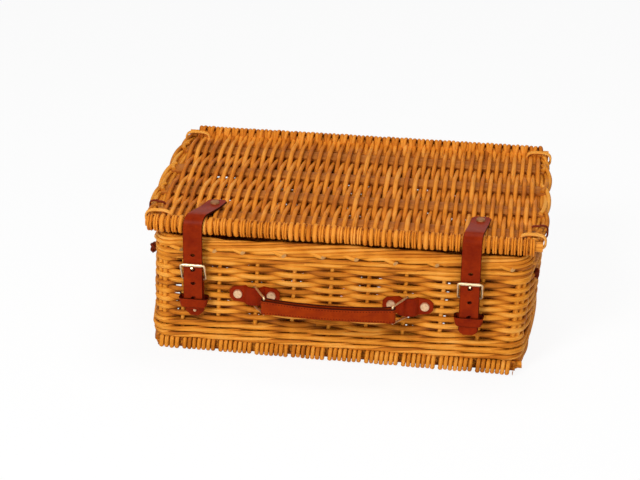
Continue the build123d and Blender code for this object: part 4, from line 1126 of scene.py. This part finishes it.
def tie_knots():
    """An overhand knot in each thong's end, with a short tail hanging down."""
    rods = Rods("thong_knots", 55)
    low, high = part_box("stay_knots")
    y, z = (low[1] + high[1]) / 2 - MIDDLE, 101.0 * mm
    turn, tail = np.linspace(0, 2 * pi, 40), np.linspace(0, 1, 8)
    for side, inset, size in ((-1, 5.0 * mm, 1.7 * mm), (1, 10.5 * mm, 1.45 * mm)):
        x = side * (high[0] - inset)
        line = line_through(
            x + side * size * 1.05 * np.sin(3 * turn),
            y + size * (np.sin(turn) + 2 * np.sin(2 * turn)) * 0.8,
            z + size * (np.cos(turn) - 2 * np.cos(2 * turn)) * 0.9,
        )
        rods.add(line, (side, 0.2, 0.1), 1.7 * mm, tone=0.5)
        x = x + side * 1.6 * mm * np.sin(tail * 2.4)
        line = line_through(x, y + 1.5 * mm * tail, z - (1.5 + 6.2 * tail) * mm)
        rods.add(line, (side, 0, 0), 1.3 * mm * (1 - 0.55 * tail), 0.8 * mm, tone=0.5)
    rods.piece("basket", thong_leather, "thong", "stay_knots")


make_stay("left")
make_stay("right")
tie_knots()


# Floor, light and camera
def make_stage():
    """A white floor that shows white to the camera but keeps a soft shadow."""
    bpy.ops.mesh.primitive_plane_add(size=12)
    floor = bpy.context.active_object
    floor.name = "floor"
    f = Finish("white_paper")
    f.surface(Base_Color=(0.92, 0.92, 0.92, 1), Roughness=0.9)
    glow = f.tree.nodes.new("ShaderNodeEmission")
    both = f.tree.nodes.new("ShaderNodeMixShader")
    seen = f.node("LightPath", out="Is Camera Ray")
    join(both.inputs[0], seen * 0.9)
    f.tree.links.new(f.shader.outputs[0], both.inputs[1])
    f.tree.links.new(glow.outputs[0], both.inputs[2])
    f.tree.links.new(both.outputs[0], f.tree.nodes["Material Output"].inputs[0])
    floor.data.materials.append(f.material)


def light_world(plain):
    """Even light all round, and plain white behind the hamper and in its metal."""
    world = bpy.data.worlds.new("studio")
    bpy.context.scene.world = world
    world.use_nodes = True
    tree = world.node_tree
    sky = tree.nodes["Background"]
    sky.inputs["Color"].default_value = (1, 1, 1, 1)
    path = tree.nodes.new("ShaderNodeLightPath")
    ways = [Value(path.outputs[name]) for name in ("Is Camera Ray", "Is Glossy Ray", "Is Transmission Ray")]
    seen = ways[0].math("MAXIMUM", ways[0].math("MAXIMUM", ways[0], ways[1]), ways[2])
    join(sky.inputs["Strength"], seen * (1 - plain) + plain)


def soft_lamp(name, place, towards, size, power):
    """A round area lamp at a place, turned towards a point."""
    data = bpy.data.lights.new(name, "AREA")
    data.shape = "DISK"
    data.size = size
    data.energy = power
    lamp = new_object(name, data)
    lamp.location = place
    lamp.rotation_euler = (Vector(towards) - Vector(place)).to_track_quat("-Z", "Y").to_euler()


def place_camera():
    """The photograph's view: a long lens, 7 degrees from the right and 25 degrees up."""
    azimuth, elevation, roll = radians(6.90), radians(24.57), radians(0.96)
    distance, focal_pixels = 2.11667, 1958.8
    target = Vector((-37.47 * mm, MIDDLE, 81.83 * mm))
    back = Vector((sin(azimuth) * cos(elevation), -cos(azimuth) * cos(elevation), sin(elevation)))
    right = (-back).cross(Vector(UP)).normalized()
    up = right.cross(-back)
    right, up = cos(roll) * right + sin(roll) * up, cos(roll) * up - sin(roll) * right
    data = bpy.data.cameras.new("camera")
    data.sensor_width = 36
    data.lens = data.sensor_width * focal_pixels / 640
    data.clip_end = 50
    camera = new_object("camera", data)
    turn = Matrix((right, up, back)).transposed()
    camera.matrix_world = Matrix.Translation(target + back * distance) @ turn.to_4x4()
    bpy.context.scene.camera = camera


make_stage()
soft_lamp("key", (-0.8, -1.7, 1.5), (0, 0, 0.08), 0.7, 34)
soft_lamp("top", (0.3, 0.3, 1.9), (0, 0, 0.1), 1.0, 14)
soft_lamp("fill", (0.8, -1.8, 0.8), (0.05, 0, 0.08), 1.2, 9)
place_camera()
light_world(0.2)
bpy.context.scene.view_settings.view_transform = "Standard"
